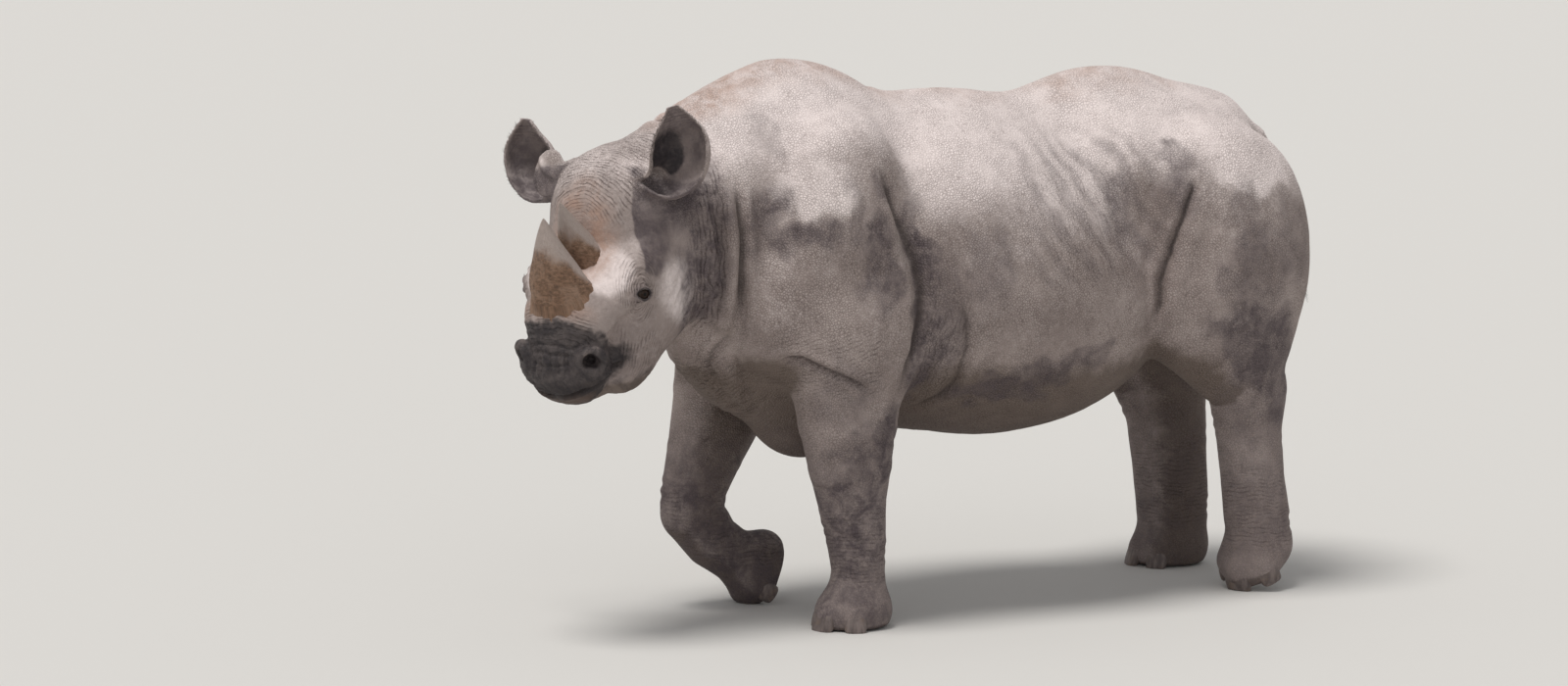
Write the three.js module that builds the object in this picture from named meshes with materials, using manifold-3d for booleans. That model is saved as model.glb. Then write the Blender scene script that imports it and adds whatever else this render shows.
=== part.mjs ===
// A life-size black rhinoceros, walking, with its head low and turned to its left.
//
// The flesh is one smooth body: rounded masses and limbs that melt into each other. Thin
// flat cuts part it into head, neck, trunk, legs and feet. Tail, ears, eyes, horns and
// nails are solids of their own, fitted to the flesh.
//
// Millimetres. The animal is laid out in its own frame (forward, left, up) from the point
// on the floor under the middle of its trunk. At the end it is turned to face -Y.
import * as THREE from "three";
import Module from "manifold-3d";
import { mergeVertices } from "three/addons/utils/BufferGeometryUtils.js";

const wasm = await Module();
wasm.setup();

// ---------------------------------------------------------------- driving dimensions
const GAP = 0.4; // clearance between neighbouring solids
const HEAD_AT = [1158, 62, 1270]; // the joint of skull and neck
const HEAD_TURN = 27; // degrees to the animal's left of straight ahead
const HEAD_DROP = 58; // degrees that the face points below the horizon
const EAR = { half: 76, skin: 12 }; // half the open width, and the wall
const EYE = { at: [326, 180, -10], radius: 24 };
const FRONT_HORN = { at: [401, 112], length: 214, base: 110, lean: 20, curl: 26 };
const REAR_HORN = { at: [266, 52], length: 194, base: 86, lean: 12, curl: 18 };
const FOOT = { deep: 112, wide: 102, tall: 128 }; // half its length and width, and its height
const HORN_ROOT = 90; // how far a horn starts below the point that it is placed by
const NAIL_TURNS = [-56, 0, 56]; // three nails round the front of each foot, in degrees
const DETAIL = { trunk: 108, neck: 84, head: 40, leg: 68, foot: 58 }; // facet sizes

const rad = THREE.MathUtils.degToRad;
const mix = (a, b, t) => a + (b - a) * t;
const clamp = (x) => Math.min(1, Math.max(0, x));

// ---------------------------------------------------------------- smooth masses
// A frame is a Matrix4 that carries local points into the animal's frame.
function frame(at, { turn = 0, drop = 0, roll = 0 } = {}) {
  const spin = new THREE.Euler(rad(roll), rad(drop), rad(turn), "ZYX");
  const made = new THREE.Matrix4().makeRotationFromEuler(spin);
  return made.setPosition(...at);
}

// Each mass gives about the distance to its surface from a point, the width over which it
// melts into what is already there, and a ball round it outside which it can be left out.
function ball(at, size, { turn, drop, roll, melt = 90, parent } = {}) {
  const placed = frame(at, { turn, drop, roll });
  if (parent) placed.premultiply(parent);
  const centre = new THREE.Vector3().setFromMatrixPosition(placed);
  const e = placed.invert().elements;
  const [a, b, c] = size;
  return {
    melt,
    centre,
    reach: Math.max(...size),
    distance(x, y, z) {
      const u = (e[0] * x + e[4] * y + e[8] * z + e[12]) / a;
      const v = (e[1] * x + e[5] * y + e[9] * z + e[13]) / b;
      const w = (e[2] * x + e[6] * y + e[10] * z + e[14]) / c;
      const near = Math.sqrt(u * u + v * v + w * w);
      const [du, dv, dw] = [u / a, v / b, w / c];
      const steep = Math.sqrt(du * du + dv * dv + dw * dw);
      return steep > 0 ? (near * (near - 1)) / steep : -Math.min(a, b, c);
    },
  };
}

// A limb runs through joints {at, deep, wide}: half its depth seen from the side and half
// its width seen from the front. Splay is how far it is turned to the left, in degrees.
const joint = (forward, left, up, deep, wide = deep) => ({ at: [forward, left, up], deep, wide });

function spanDistance(near, far, [sx, sy], x, y, z) {
  const [ax, ay, az] = [far.at[0] - near.at[0], far.at[1] - near.at[1], far.at[2] - near.at[2]];
  const [px, py, pz] = [x - near.at[0], y - near.at[1], z - near.at[2]];
  const t = clamp((px * ax + py * ay + pz * az) / (ax * ax + ay * ay + az * az));
  const deep = mix(near.deep, far.deep, t);
  const wide = mix(near.wide, far.wide, t);
  const [ox, oy, oz] = [px - ax * t, py - ay * t, pz - az * t];
  const swell = (ox * sx + oy * sy) * (deep / wide - 1);
  const off = Math.hypot(ox + sx * swell, oy + sy * swell, oz);
  return (off - deep) * Math.min(1, wide / deep);
}

function limb(joints, { melt = 60, splay = 0 } = {}) {
  const sideways = [-Math.sin(rad(splay)), Math.cos(rad(splay))];
  const centre = joints
    .reduce((sum, { at }) => sum.add(new THREE.Vector3(...at)), new THREE.Vector3())
    .divideScalar(joints.length);
  const reach = Math.max(
    ...joints.map(({ at, deep, wide }) => centre.distanceTo(new THREE.Vector3(...at)) + deep + wide),
  );
  const distance = (x, y, z) => {
    let nearest = Infinity;
    for (let i = 1; i < joints.length; i++)
      nearest = Math.min(nearest, spanDistance(joints[i - 1], joints[i], sideways, x, y, z));
    return nearest;
  };
  return { melt, centre, reach, distance };
}

function melted(a, b, width) {
  const h = Math.max(width - Math.abs(a - b), 0) / width;
  return Math.min(a, b) - (h * h * width) / 4;
}

const both = (make) => [make(1), make(-1)];

// ---------------------------------------------------------------- trunk and neck
const trunkMasses = [
  ball([150, 0, 1000], [620, 435, 455], { melt: 1 }), // ribcage
  ball([-20, 0, 865], [600, 450, 385], { drop: -2 }), // belly
  ball([-520, 0, 1150], [430, 325, 310]), // loins and croup
  ball([-410, 0, 1345], [290, 115, 160]), // ridge over the hips
  ball([-740, 0, 1265], [190, 140, 150], { drop: 25 }), // root of the tail
  ball([590, 0, 1230], [350, 235, 312]), // withers
  ball([110, 0, 1280], [470, 130, 165]), // spine
  ball([600, 0, 980], [330, 310, 370]), // chest
  ball([690, 0, 800], [320, 190, 220], { drop: -33 }), // brisket
  ball([545, 0, 560], [130, 120, 110]), // fold of the brisket
  // shoulder blade, point of the shoulder, upper arm
  ...both((side) => ball([590, side * 265, 1130], [190, 145, 320], { drop: -10, melt: 70 })),
  ...both((side) => ball([725, side * 225, 900], [150, 140, 190], { melt: 70 })),
  ...both((side) => ball([530, side * 295, 850], [205, 130, 230], { melt: 60 })),
  // haunch, stifle, buttock
  ...both((side) => ball([-690, side * 260, 985], [275, 170, 390], { drop: 10, melt: 55 })),
  ...both((side) => ball([-570, side * 290, 830], [160, 125, 200], { drop: 25, melt: 50 })),
  ...both((side) => ball([-835, side * 180, 1030], [150, 145, 270])),
];

const neckMasses = [
  limb([joint(620, 0, 1200, 345, 265), joint(1110, 50, 1150, 232, 195)], { melt: 120 }),
  ball([850, 20, 1282], [236, 116, 166], { drop: 22 }), // crest of the nape
  ...both((side) => ball([900, side * 195, 1110], [75, 85, 240], { drop: -6, melt: 60 })), // collar
];

// ---------------------------------------------------------------- legs and feet
// A foot has a frame of its own at the middle of its sole: forward over the toes, up the leg.
const legs = {
  front_left: {
    splay: 8,
    chain: [
      joint(560, 275, 800, 185, 128),
      joint(548, 265, 600, 152, 124),
      joint(538, 258, 470, 126, 104),
      joint(526, 253, 350, 98, 90),
      joint(512, 250, 248, 84, 84),
      joint(506, 250, 160, 74, 78),
      joint(508, 250, 80, 84, 84),
    ],
    foot: { at: [522, 250, 0], drop: 0 },
  },
  front_right: {
    splay: -6,
    chain: [
      joint(590, -275, 800, 185, 128),
      joint(640, -268, 620, 150, 120),
      joint(706, -260, 450, 112, 94),
      joint(746, -257, 345, 94, 86),
      joint(752, -256, 275, 92, 86),
      joint(690, -255, 190, 80, 80),
      joint(602, -254, 128, 76, 78),
    ],
    foot: { at: [506, -253, 84], drop: 68 },
  },
  hind_left: {
    splay: 18,
    chain: [
      joint(-690, 265, 900, 240, 132),
      joint(-748, 258, 720, 190, 118),
      joint(-792, 249, 590, 134, 96),
      joint(-806, 244, 450, 108, 84),
      joint(-820, 241, 320, 104, 82),
      joint(-838, 240, 210, 106, 86),
      joint(-848, 240, 140, 92, 88),
    ],
    foot: { at: [-846, 242, 66], drop: 38 },
  },
  hind_right: {
    splay: -18,
    chain: [
      joint(-690, -265, 900, 240, 132),
      joint(-750, -258, 720, 195, 118),
      joint(-815, -249, 570, 146, 98),
      joint(-838, -244, 440, 120, 86),
      joint(-848, -241, 320, 112, 84),
      joint(-858, -240, 200, 108, 86),
      joint(-862, -240, 90, 100, 94),
    ],
    foot: { at: [-846, -243, 0], drop: 0 },
  },
};
const footFrame = ({ foot, splay }) => frame(foot.at, { turn: splay, drop: foot.drop });
const inFrame = (matrix, local) => new THREE.Vector3(...local).applyMatrix4(matrix).toArray();

const legMasses = Object.values(legs).flatMap((leg) => [
  limb(leg.chain, { melt: 50, splay: leg.splay }),
  ball([0, 0, 40], [FOOT.deep, FOOT.wide, 80], { melt: 40, parent: footFrame(leg) }),
]);

// ---------------------------------------------------------------- tail
// A tapered tube; its root is sunk in the rump.
const TAIL = {
  path: [[-840, 0, 1330], [-960, 4, 1270], [-1046, 8, 1160], [-1092, 14, 1020], [-1106, 20, 870]],
  radii: [62, 48, 36, 27, 21],
};

// ---------------------------------------------------------------- head
// In the head's frame x runs down the face to the lips, y to its left and z out of the brow.
const headFrame = frame(HEAD_AT, { turn: HEAD_TURN, drop: HEAD_DROP });
const headPart = (at, size, { drop = 0, melt = 45 } = {}) =>
  ball(at, size, { drop, melt, parent: headFrame });
const headMasses = [
  headPart([90, 0, 0], [135, 152, 128], { melt: 70 }), // cranium
  headPart([45, 0, 62], [74, 122, 52]), // poll
  headPart([200, 0, -8], [190, 152, 66]), // forehead
  ...both((side) => headPart([300, side * 130, 0], [100, 60, 52])), // brow
  headPart([390, 0, 5], [180, 124, 72]), // bridge of the nose
  headPart([425, 0, 34], [108, 126, 86]), // boss under the front horn
  headPart([540, 0, -40], [96, 122, 88], { drop: 6 }), // muzzle
  headPart([580, 0, -80], [56, 90, 52], { drop: 25, melt: 35 }), // upper lip
  ...both((side) => headPart([545, side * 96, -22], [52, 36, 42], { melt: 25 })), // nostril wing
  ...both((side) => headPart([240, side * 120, -150], [165, 84, 165], { drop: -6 })), // cheek
  ...both((side) => headPart([365, side * 76, -160], [190, 96, 112], { drop: 4 })), // lower jaw
  headPart([505, 0, -135], [92, 92, 52], { drop: 8, melt: 35 }), // chin
  headPart([50, 0, -110], [130, 140, 120], { melt: 80 }), // throat latch
];

const masses = [...trunkMasses, ...neckMasses, ...legMasses, ...headMasses];
function flesh([x, y, z]) {
  let d = 1e4;
  for (const { centre, reach, melt, distance } of masses) {
    const apart = Math.hypot(x - centre.x, y - centre.y, z - centre.z) - reach;
    if (apart < d + melt) d = melted(d, distance(x, y, z), melt);
  }
  return d;
}

// ---------------------------------------------------------------- surface of a field
// Draws field(p) = 0 inside a box of low and high corners as a closed mesh of even quads:
// one vertex for each cell that the surface crosses, and one quad for each grid edge. The
// same mesh can be asked for again a little larger all round.
function surface(field, low, high, cell, grow = 0) {
  const outside = (p) => Math.max(...p.map((x, i) => Math.max(low[i] - x, x - high[i])));
  const closed = (p) => Math.max(field(p), outside(p));
  // Where two folds share a cell the net would touch itself, so the grid is moved a little.
  const SHIFTS = [0, 0.37, 0.61, 0.19, 0.83];
  const nets = SHIFTS.values().map((shift) => {
    const from = low.map((x) => x - (1 + shift) * cell);
    return net(closed, from, high, cell);
  });
  const { points, quads } = nets.find((made) => isSimple(made.quads));
  settle(points, quads, closed, cell);
  if (grow) points.forEach((p) => land(p, (q) => closed(q) - grow, cell));
  const apart = (m, n) => Math.hypot(...points[m].map((x, i) => x - points[n][i]));
  const halves = ([a, b, c, d]) =>
    apart(a, c) < apart(b, d) ? [a, b, c, a, c, d] : [a, b, d, b, c, d];
  return meshSolid(points.flat(), quads.flatMap(halves));
}

// Whether every edge of the net is shared by two quads only.
function isSimple(quads) {
  const uses = new Map();
  quads.forEach((q) =>
    q.forEach((v, n) => {
      const next = q[(n + 1) % 4];
      const edge = `${Math.min(v, next)} ${Math.max(v, next)}`;
      uses.set(edge, (uses.get(edge) ?? 0) + 1);
    }),
  );
  return [...uses.values()].every((n) => n === 2);
}

function net(field, from, high, cell) {
  const count = from.map((x, i) => Math.ceil((high[i] - x) / cell) + 3);
  const at = (i, j, k) => [i, j, k].map((n, axis) => from[axis] + n * cell);
  const key = (i, j, k) => (i * count[1] + j) * count[2] + k;
  const values = new Float32Array(count[0] * count[1] * count[2]);
  const each = (start, visit) => {
    for (let i = start; i < count[0]; i++)
      for (let j = start; j < count[1]; j++)
        for (let k = start; k < count[2]; k++) visit(i, j, k);
  };
  each(0, (i, j, k) => (values[key(i, j, k)] = field(at(i, j, k))));

  const corners = [0, 1, 2, 3, 4, 5, 6, 7].map((n) => [n & 1, (n >> 1) & 1, n >> 2]);
  const edges = corners.flatMap((_, n) =>
    [1, 2, 4].filter((bit) => !(n & bit)).map((bit) => [n, n | bit]),
  );
  const points = [];
  const pointOf = new Map();
  each(0, (i, j, k) => {
    if (i + 1 >= count[0] || j + 1 >= count[1] || k + 1 >= count[2]) return;
    const v = corners.map(([a, b, c]) => values[key(i + a, j + b, k + c)]);
    if (v.every((x) => x < 0) || v.every((x) => x >= 0)) return;
    const crossings = edges.flatMap(([a, b]) => {
      if (v[a] < 0 === v[b] < 0) return [];
      const t = v[a] / (v[a] - v[b]);
      return [corners[a].map((x, axis) => mix(x, corners[b][axis], t))];
    });
    const [a, b, c] = [0, 1, 2].map(
      (axis) => crossings.reduce((sum, p) => sum + p[axis], 0) / crossings.length,
    );
    pointOf.set(key(i, j, k), points.length);
    points.push(at(i + a, j + b, k + c));
  });

  const quads = [];
  each(1, (i, j, k) => {
    [0, 1, 2].forEach((axis) => {
      const [i2, j2, k2] = [i, j, k].map((n, other) => n + Number(other === axis));
      if (i2 >= count[0] || j2 >= count[1] || k2 >= count[2]) return;
      const inside = values[key(i, j, k)] < 0;
      if (inside === values[key(i2, j2, k2)] < 0) return;
      const u = [0, 1, 2].map((n) => Number(n === (axis + 1) % 3));
      const w = [0, 1, 2].map((n) => Number(n === (axis + 2) % 3));
      const cellOf = (a, b) =>
        pointOf.get(
          key(i - a * u[0] - b * w[0], j - a * u[1] - b * w[1], k - a * u[2] - b * w[2]),
        );
      const ring = [cellOf(0, 0), cellOf(1, 0), cellOf(1, 1), cellOf(0, 1)];
      quads.push(inside ? ring : ring.reverse());
    });
  });
  return { points, quads };
}

// Moves each point to the middle of its neighbours and back onto the surface, in turns, so
// that the facets come out even.
function settle(points, quads, field, cell) {
  const around = points.map(() => new Set());
  quads.forEach((q) => q.forEach((v, n) => around[v].add(q[(n + 1) % 4]).add(q[(n + 3) % 4])));
  const ROUNDS = 5;
  const LAND_STEPS = 3;
  for (let round = 0; round < ROUNDS; round++) {
    const old = points.map((p) => [...p]);
    points.forEach((p, v) => {
      const near = [...around[v]];
      for (let i = 0; i < 3; i++) {
        const middle = near.reduce((sum, n) => sum + old[n][i], 0) / near.length;
        p[i] = mix(p[i], middle, 0.6);
      }
      for (let n = 0; n < LAND_STEPS; n++) land(p, field, cell);
    });
  }
}

function land(p, field, cell) {
  const d = field(p);
  const probe = cell / 20;
  const slope = p.map((_, i) => {
    const ahead = [...p];
    ahead[i] += probe;
    return (field(ahead) - d) / probe;
  });
  const steep = Math.max(0.2, Math.hypot(...slope) ** 2);
  const most = cell / 2;
  slope.forEach((s, i) => (p[i] -= Math.max(-most, Math.min(most, (d * s) / steep))));
}

// ---------------------------------------------------------------- solids
function meshSolid(positions, triangles) {
  const vertProperties = Float32Array.from(positions);
  const triVerts = Uint32Array.from(triangles);
  return new wasm.Manifold(new wasm.Mesh({ numProp: 3, vertProperties, triVerts }));
}

function solidOf(geometry, matrix = new THREE.Matrix4()) {
  const bare = geometry.index ? geometry.toNonIndexed() : geometry.clone();
  bare.deleteAttribute("normal");
  bare.deleteAttribute("uv");
  const merged = mergeVertices(bare.applyMatrix4(matrix), 1e-3);
  return meshSolid(merged.attributes.position.array, merged.index.array);
}

// A box of half sizes, with clearance added all round.
function block({ at, half, turn, drop, roll, parent }, grow = 0) {
  const [x, y, z] = half.map((h) => 2 * (h + grow));
  const placed = frame(at, { turn, drop, roll });
  if (parent) placed.premultiply(parent);
  return solidOf(new THREE.BoxGeometry(x, y, z), placed);
}

function bare(solid, name, material) {
  const { vertProperties, triVerts } = solid.getMesh();
  const geometry = new THREE.BufferGeometry();
  geometry.setAttribute("position", new THREE.BufferAttribute(vertProperties, 3));
  geometry.setIndex(new THREE.BufferAttribute(triVerts, 1));
  geometry.computeVertexNormals();
  const mesh = new THREE.Mesh(geometry, material);
  mesh.name = name;
  return mesh;
}

// ---------------------------------------------------------------- how the flesh is parted
// Each block claims what lies in it, in this order, and the trunk is what remains.
// A leg's claim is a lane along its own side, below a cut that runs from high on the
// outside to low between the legs.
function legClaim({ side, middle, half, lean, inner, outer }, grow) {
  const INNER_EDGE = 112; // how far the cuts stay from the middle of the body
  const across = 700;
  const tilt = Math.atan2(outer - inner, across);
  const tall = 600;
  const middleLeft = side * (INNER_EDGE + across / 2);
  const under = block(
    {
      at: [middle, middleLeft, (inner + outer) / 2 - tall * Math.cos(tilt)],
      half: [2 * half, Math.hypot(outer - inner, across) / 2 + 40, tall],
      roll: side * THREE.MathUtils.radToDeg(tilt),
    },
    grow,
  );
  const lane = { at: [middle, middleLeft, 500], half: [half, across / 2, 900], drop: lean };
  return under.intersect(block(lane, grow));
}

const claims = {
  head: (grow) =>
    block({ at: [372, 0, 20], half: [410, 330, 312], drop: 6, parent: headFrame }, grow),
  leg_front_left: (grow) =>
    legClaim({ side: 1, middle: 590, half: 235, lean: -4, inner: 600, outer: 830 }, grow),
  leg_front_right: (grow) =>
    legClaim({ side: -1, middle: 630, half: 275, lean: -4, inner: 600, outer: 830 }, grow),
  leg_hind_left: (grow) =>
    legClaim({ side: 1, middle: -870, half: 340, lean: 18, inner: 600, outer: 900 }, grow),
  leg_hind_right: (grow) =>
    legClaim({ side: -1, middle: -870, half: 340, lean: 18, inner: 600, outer: 900 }, grow),
  neck: (grow) => block({ at: [1290, 0, 1130], half: [500, 520, 640], drop: 12 }, grow),
};

// ---------------------------------------------------------------- ears, eyes, horns, nails
// An ear is a scoop: a rolled tube at its root that opens into a leaf. It leaves the head
// sideways, bends up towards its tip, and its mouth faces the way that is given. The root is
// in the head's frame; the bend and the tip are measured from it in the animal's frame.
const ears = {
  left: { root: [6, 112, 40], bend: [-62, 176, -15], tip: [-8, 136, 208], mouth: [0.62, 0.78, 0] },
  right: { root: [6, -104, 40], bend: [66, -250, -96], tip: [58, -214, 132], mouth: [0.85, 0.5, 0] },
};

const smoothStops = (stops) => {
  const curve = new THREE.CatmullRomCurve3(
    stops.map((y, i) => new THREE.Vector3(i / (stops.length - 1), y, 0)),
  );
  return (t) => curve.getPoint(t).y;
};

function earSolid({ root, bend, tip, mouth }) {
  const RINGS = 8;
  const SPOKES = 7;
  const corners = [[0, 0, 0], bend, tip].map((p) => new THREE.Vector3(...p));
  const spine = new THREE.QuadraticBezierCurve3(...corners);
  const start = new THREE.Vector3(...root).applyMatrix4(headFrame);
  const width = smoothStops([0.5, 0.54, 0.78, 0.98, 1.02, 0.86, 0.2]); // from root to tip
  const open = smoothStops([172, 165, 138, 112, 98, 88, 80]); // half of the arc, in degrees
  const point = (t, spoke, offset) => {
    const half = width(t) * EAR.half;
    const arc = rad(open(t));
    const r = half / Math.sin(Math.min(arc, Math.PI / 2));
    const turn = mix(-arc, arc, spoke);
    const up = spine.getTangent(t);
    const ahead = new THREE.Vector3(...mouth);
    ahead.addScaledVector(up, -up.dot(ahead)).normalize();
    const across = new THREE.Vector3().crossVectors(up, ahead);
    return spine
      .getPoint(t)
      .add(start)
      .addScaledVector(ahead, -r * Math.cos(arc) * 0.5 - Math.cos(turn) * (r + offset))
      .addScaledVector(across, Math.sin(turn) * (r + offset))
      .toArray();
  };
  const positions = [];
  [EAR.skin / 2, -EAR.skin / 2].forEach((offset) => {
    for (let ring = 0; ring <= RINGS; ring++)
      for (let spoke = 0; spoke <= SPOKES; spoke++)
        positions.push(...point(ring / RINGS, spoke / SPOKES, offset));
  });
  const id = (skin, ring, spoke) => (skin * (RINGS + 1) + ring) * (SPOKES + 1) + spoke;
  const triangles = [];
  const quad = (a, b, c, d) => triangles.push(a, b, c, a, c, d);
  for (let r = 0; r < RINGS; r++)
    for (let s = 0; s < SPOKES; s++) {
      quad(id(0, r, s), id(0, r + 1, s), id(0, r + 1, s + 1), id(0, r, s + 1));
      quad(id(1, r, s + 1), id(1, r + 1, s + 1), id(1, r + 1, s), id(1, r, s));
    }
  for (let s = 0; s < SPOKES; s++) {
    quad(id(0, 0, s), id(0, 0, s + 1), id(1, 0, s + 1), id(1, 0, s));
    quad(id(0, RINGS, s + 1), id(0, RINGS, s), id(1, RINGS, s), id(1, RINGS, s + 1));
  }
  for (let r = 0; r < RINGS; r++) {
    quad(id(0, r, 0), id(1, r, 0), id(1, r + 1, 0), id(0, r + 1, 0));
    quad(id(0, r + 1, SPOKES), id(1, r + 1, SPOKES), id(1, r, SPOKES), id(0, r, SPOKES));
  }
  return outward(positions, triangles);
}

function outward(positions, triangles) {
  const solid = meshSolid(positions, triangles);
  return solid.volume() < 0 ? meshSolid(positions, triangles.reverse()) : solid;
}

const solidTurned = (solid, matrix) => solid.transform(matrix.elements);

// A horn is a cone of round rings along an arc that leans back over the face.
function hornSolid({ at: [along, height], length, base, lean, curl }) {
  const RINGS = 7;
  const SIDES = 12;
  const path = [];
  let [x, z] = [along + HORN_ROOT / 6, height - HORN_ROOT];
  for (let ring = 0; ring <= RINGS; ring++) {
    const t = ring / RINGS;
    const angle = rad(lean + curl * t);
    const r = base * Math.max(0.06, (1 - t) ** 0.85) * mix(1.12, 1, clamp(t * 4));
    path.push({ x, z, angle, r });
    x -= (Math.sin(angle) * (length + HORN_ROOT)) / RINGS;
    z += (Math.cos(angle) * (length + HORN_ROOT)) / RINGS;
  }
  const positions = path.flatMap(({ x: cx, z: cz, angle, r }) =>
    Array.from({ length: SIDES }, (_, n) => {
      const turn = (2 * Math.PI * n) / SIDES;
      const across = Math.cos(turn) * r * 0.92;
      return [cx + across * Math.cos(angle), Math.sin(turn) * r * 1.04, cz + across * Math.sin(angle)];
    }).flat(),
  );
  const first = path[0];
  const last = path[RINGS];
  positions.push(first.x, 0, first.z, last.x - 3, 0, last.z + 4);
  return solidTurned(outward(positions, sleeve(RINGS, SIDES)), headFrame);
}

// A tube of round rings along a curve, closed by a point at each end.
function tubeSolid({ path, radii }, grow = 0) {
  const RINGS = 8;
  const SIDES = 8;
  const spine = new THREE.CatmullRomCurve3(path.map((p) => new THREE.Vector3(...p)));
  const radius = smoothStops(radii);
  const positions = [];
  for (let ring = 0; ring <= RINGS; ring++) {
    const t = ring / RINGS;
    const along = spine.getTangent(t);
    const across = new THREE.Vector3(0, 1, 0).cross(along).normalize();
    const side = new THREE.Vector3().crossVectors(along, across);
    for (let n = 0; n < SIDES; n++) {
      const turn = (2 * Math.PI * n) / SIDES;
      const p = spine.getPoint(t).addScaledVector(across, Math.cos(turn) * (radius(t) + grow));
      positions.push(...p.addScaledVector(side, Math.sin(turn) * (radius(t) + grow)).toArray());
    }
  }
  const ends = [spine.getPoint(0), spine.getPoint(1)];
  const away = [spine.getTangent(0).multiplyScalar(-1), spine.getTangent(1)];
  ends.forEach((end, n) => {
    const round = radius(n) * 0.5 + grow;
    positions.push(...end.addScaledVector(away[n], round).toArray());
  });
  return outward(positions, sleeve(RINGS, SIDES));
}

// The triangles of rings of points joined into a sleeve, with an end point below and above.
function sleeve(rings, sides) {
  const [bottom, tip] = [(rings + 1) * sides, (rings + 1) * sides + 1];
  const triangles = [];
  for (let n = 0; n < sides; n++) {
    const next = (n + 1) % sides;
    triangles.push(bottom, next, n);
    triangles.push(tip, rings * sides + n, rings * sides + next);
    for (let ring = 0; ring < rings; ring++) {
      const [a, b] = [ring * sides + n, ring * sides + next];
      triangles.push(a, b, b + sides, a, b + sides, a + sides);
    }
  }
  return triangles;
}

const eyeFrame = (side) => {
  const [x, y, z] = EYE.at;
  return headFrame.clone().multiply(new THREE.Matrix4().makeTranslation(x, side * y, z));
};
const eyeSolid = (side, grow = 0) =>
  solidOf(new THREE.SphereGeometry(EYE.radius + grow, 10, 6), eyeFrame(side));

// A nail is a rounded plate that stands at the rim of the foot.
function nailSolid(leg, turn, grow = 0) {
  const [deep, wide, tall] = [20, turn ? 34 : 44, turn ? 50 : 58].map((x) => x + grow);
  const shape = new THREE.SphereGeometry(1, 8, 5);
  const place = footFrame(leg)
    .multiply(new THREE.Matrix4().makeRotationZ(rad(turn)))
    .multiply(frame([FOOT.deep - (turn ? 14 : 8), 0, 24], { drop: -16 }))
    .multiply(new THREE.Matrix4().makeScale(deep, wide, tall));
  return solidOf(shape, place);
}

// ---------------------------------------------------------------- building
const hide = new THREE.MeshStandardMaterial({ color: 0x8c8078, roughness: 0.85, metalness: 0 });
const horny = new THREE.MeshStandardMaterial({ color: 0x9a7c5e, roughness: 0.6, metalness: 0 });
const nailHorn = new THREE.MeshStandardMaterial({ color: 0x5d544b, roughness: 0.55, metalness: 0 });
const eyeball = new THREE.MeshStandardMaterial({ color: 0x1c1410, roughness: 0.1, metalness: 0 });

const blockBounds = (claim) => {
  const { min, max } = claim.boundingBox();
  const reach = (corner, sign, limit) => corner.map((x, i) => sign * Math.min(sign * x, sign * limit[i]));
  return [reach(min, -1, [-1250, -620, 0]), reach(max, 1, [1750, 620, 1650])];
};

const roomy = ([low, high], cell) => [low.map((x) => x - 2 * cell), high.map((x) => x + 2 * cell)];

// The flesh inside a claim, less what the claims before it took.
function claimed(name, taken) {
  const claim = name === "trunk" ? null : claims[name](0);
  const [low, high] = claim ? blockBounds(claim) : [[-1150, -560, 400], [1050, 560, 1650]];
  const cell = DETAIL[name.split("_")[0]];
  let made = surface(flesh, ...roomy([low, high], cell), cell);
  if (claim) made = made.intersect(claim);
  return taken.reduce((rest, other) => rest.subtract(other), made);
}

const largest = (solid) => solid.decompose().reduce((a, b) => (a.volume() > b.volume() ? a : b));

const rhino = new THREE.Group();
const taken = [];
const parts = {};
for (const name of [...Object.keys(claims), "trunk"]) {
  parts[name] = largest(claimed(name, taken));
  if (claims[name]) taken.push(claims[name](GAP));
}

// Feet: each leg ends in a sole, and its foot is parted from it above the nails.
for (const [name, leg] of Object.entries(legs)) {
  const own = footFrame(leg);
  const sole = block({ at: [0, 0, 1000], half: [1500, 1000, 1000], parent: own });
  const floor = block({ at: [0, 0, 1000], half: [3000, 1500, 1000] });
  const footRoom = { at: [0, 0, 0], half: [260, 220, FOOT.tall - 30], parent: own };
  const low = surface(
    flesh,
    inFrame(own, [0, 0, 0]).map((x) => x - 330),
    inFrame(own, [0, 0, 0]).map((x) => x + 330),
    DETAIL.foot,
  );
  let foot = low.intersect(block(footRoom)).intersect(sole).intersect(floor);
  NAIL_TURNS.forEach((turn, n) => {
    const nail = nailSolid(leg, turn).intersect(sole).intersect(floor);
    rhino.add(bare(nail, `nail_${name}_${n + 1}`, nailHorn));
    foot = foot.subtract(nailSolid(leg, turn, GAP));
  });
  rhino.add(bare(largest(foot), `foot_${name}`, hide));
  parts[`leg_${name}`] = largest(parts[`leg_${name}`].subtract(block(footRoom, GAP)));
}

// The head makes room for the eyes. Ears and horns stand on it, and the tail in the rump.
const headBox = blockBounds(claims.head(0));
const headRoom = surface(flesh, ...roomy(headBox, DETAIL.head), DETAIL.head, 2 * GAP);
for (const [word, side] of [["left", 1], ["right", -1]]) {
  parts.head = parts.head.subtract(eyeSolid(side, GAP));
  rhino.add(bare(eyeSolid(side), `eye_${word}`, eyeball));
  rhino.add(bare(largest(earSolid(ears[word]).subtract(headRoom)), `ear_${word}`, hide));
}
for (const [name, horn] of [["horn_front", FRONT_HORN], ["horn_rear", REAR_HORN]])
  rhino.add(bare(largest(hornSolid(horn).subtract(headRoom)), name, horny));
parts.trunk = parts.trunk.subtract(tubeSolid(TAIL, GAP));
parts.tail = tubeSolid(TAIL);
for (const [name, solid] of Object.entries(parts)) rhino.add(bare(largest(solid), name, hide));

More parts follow.
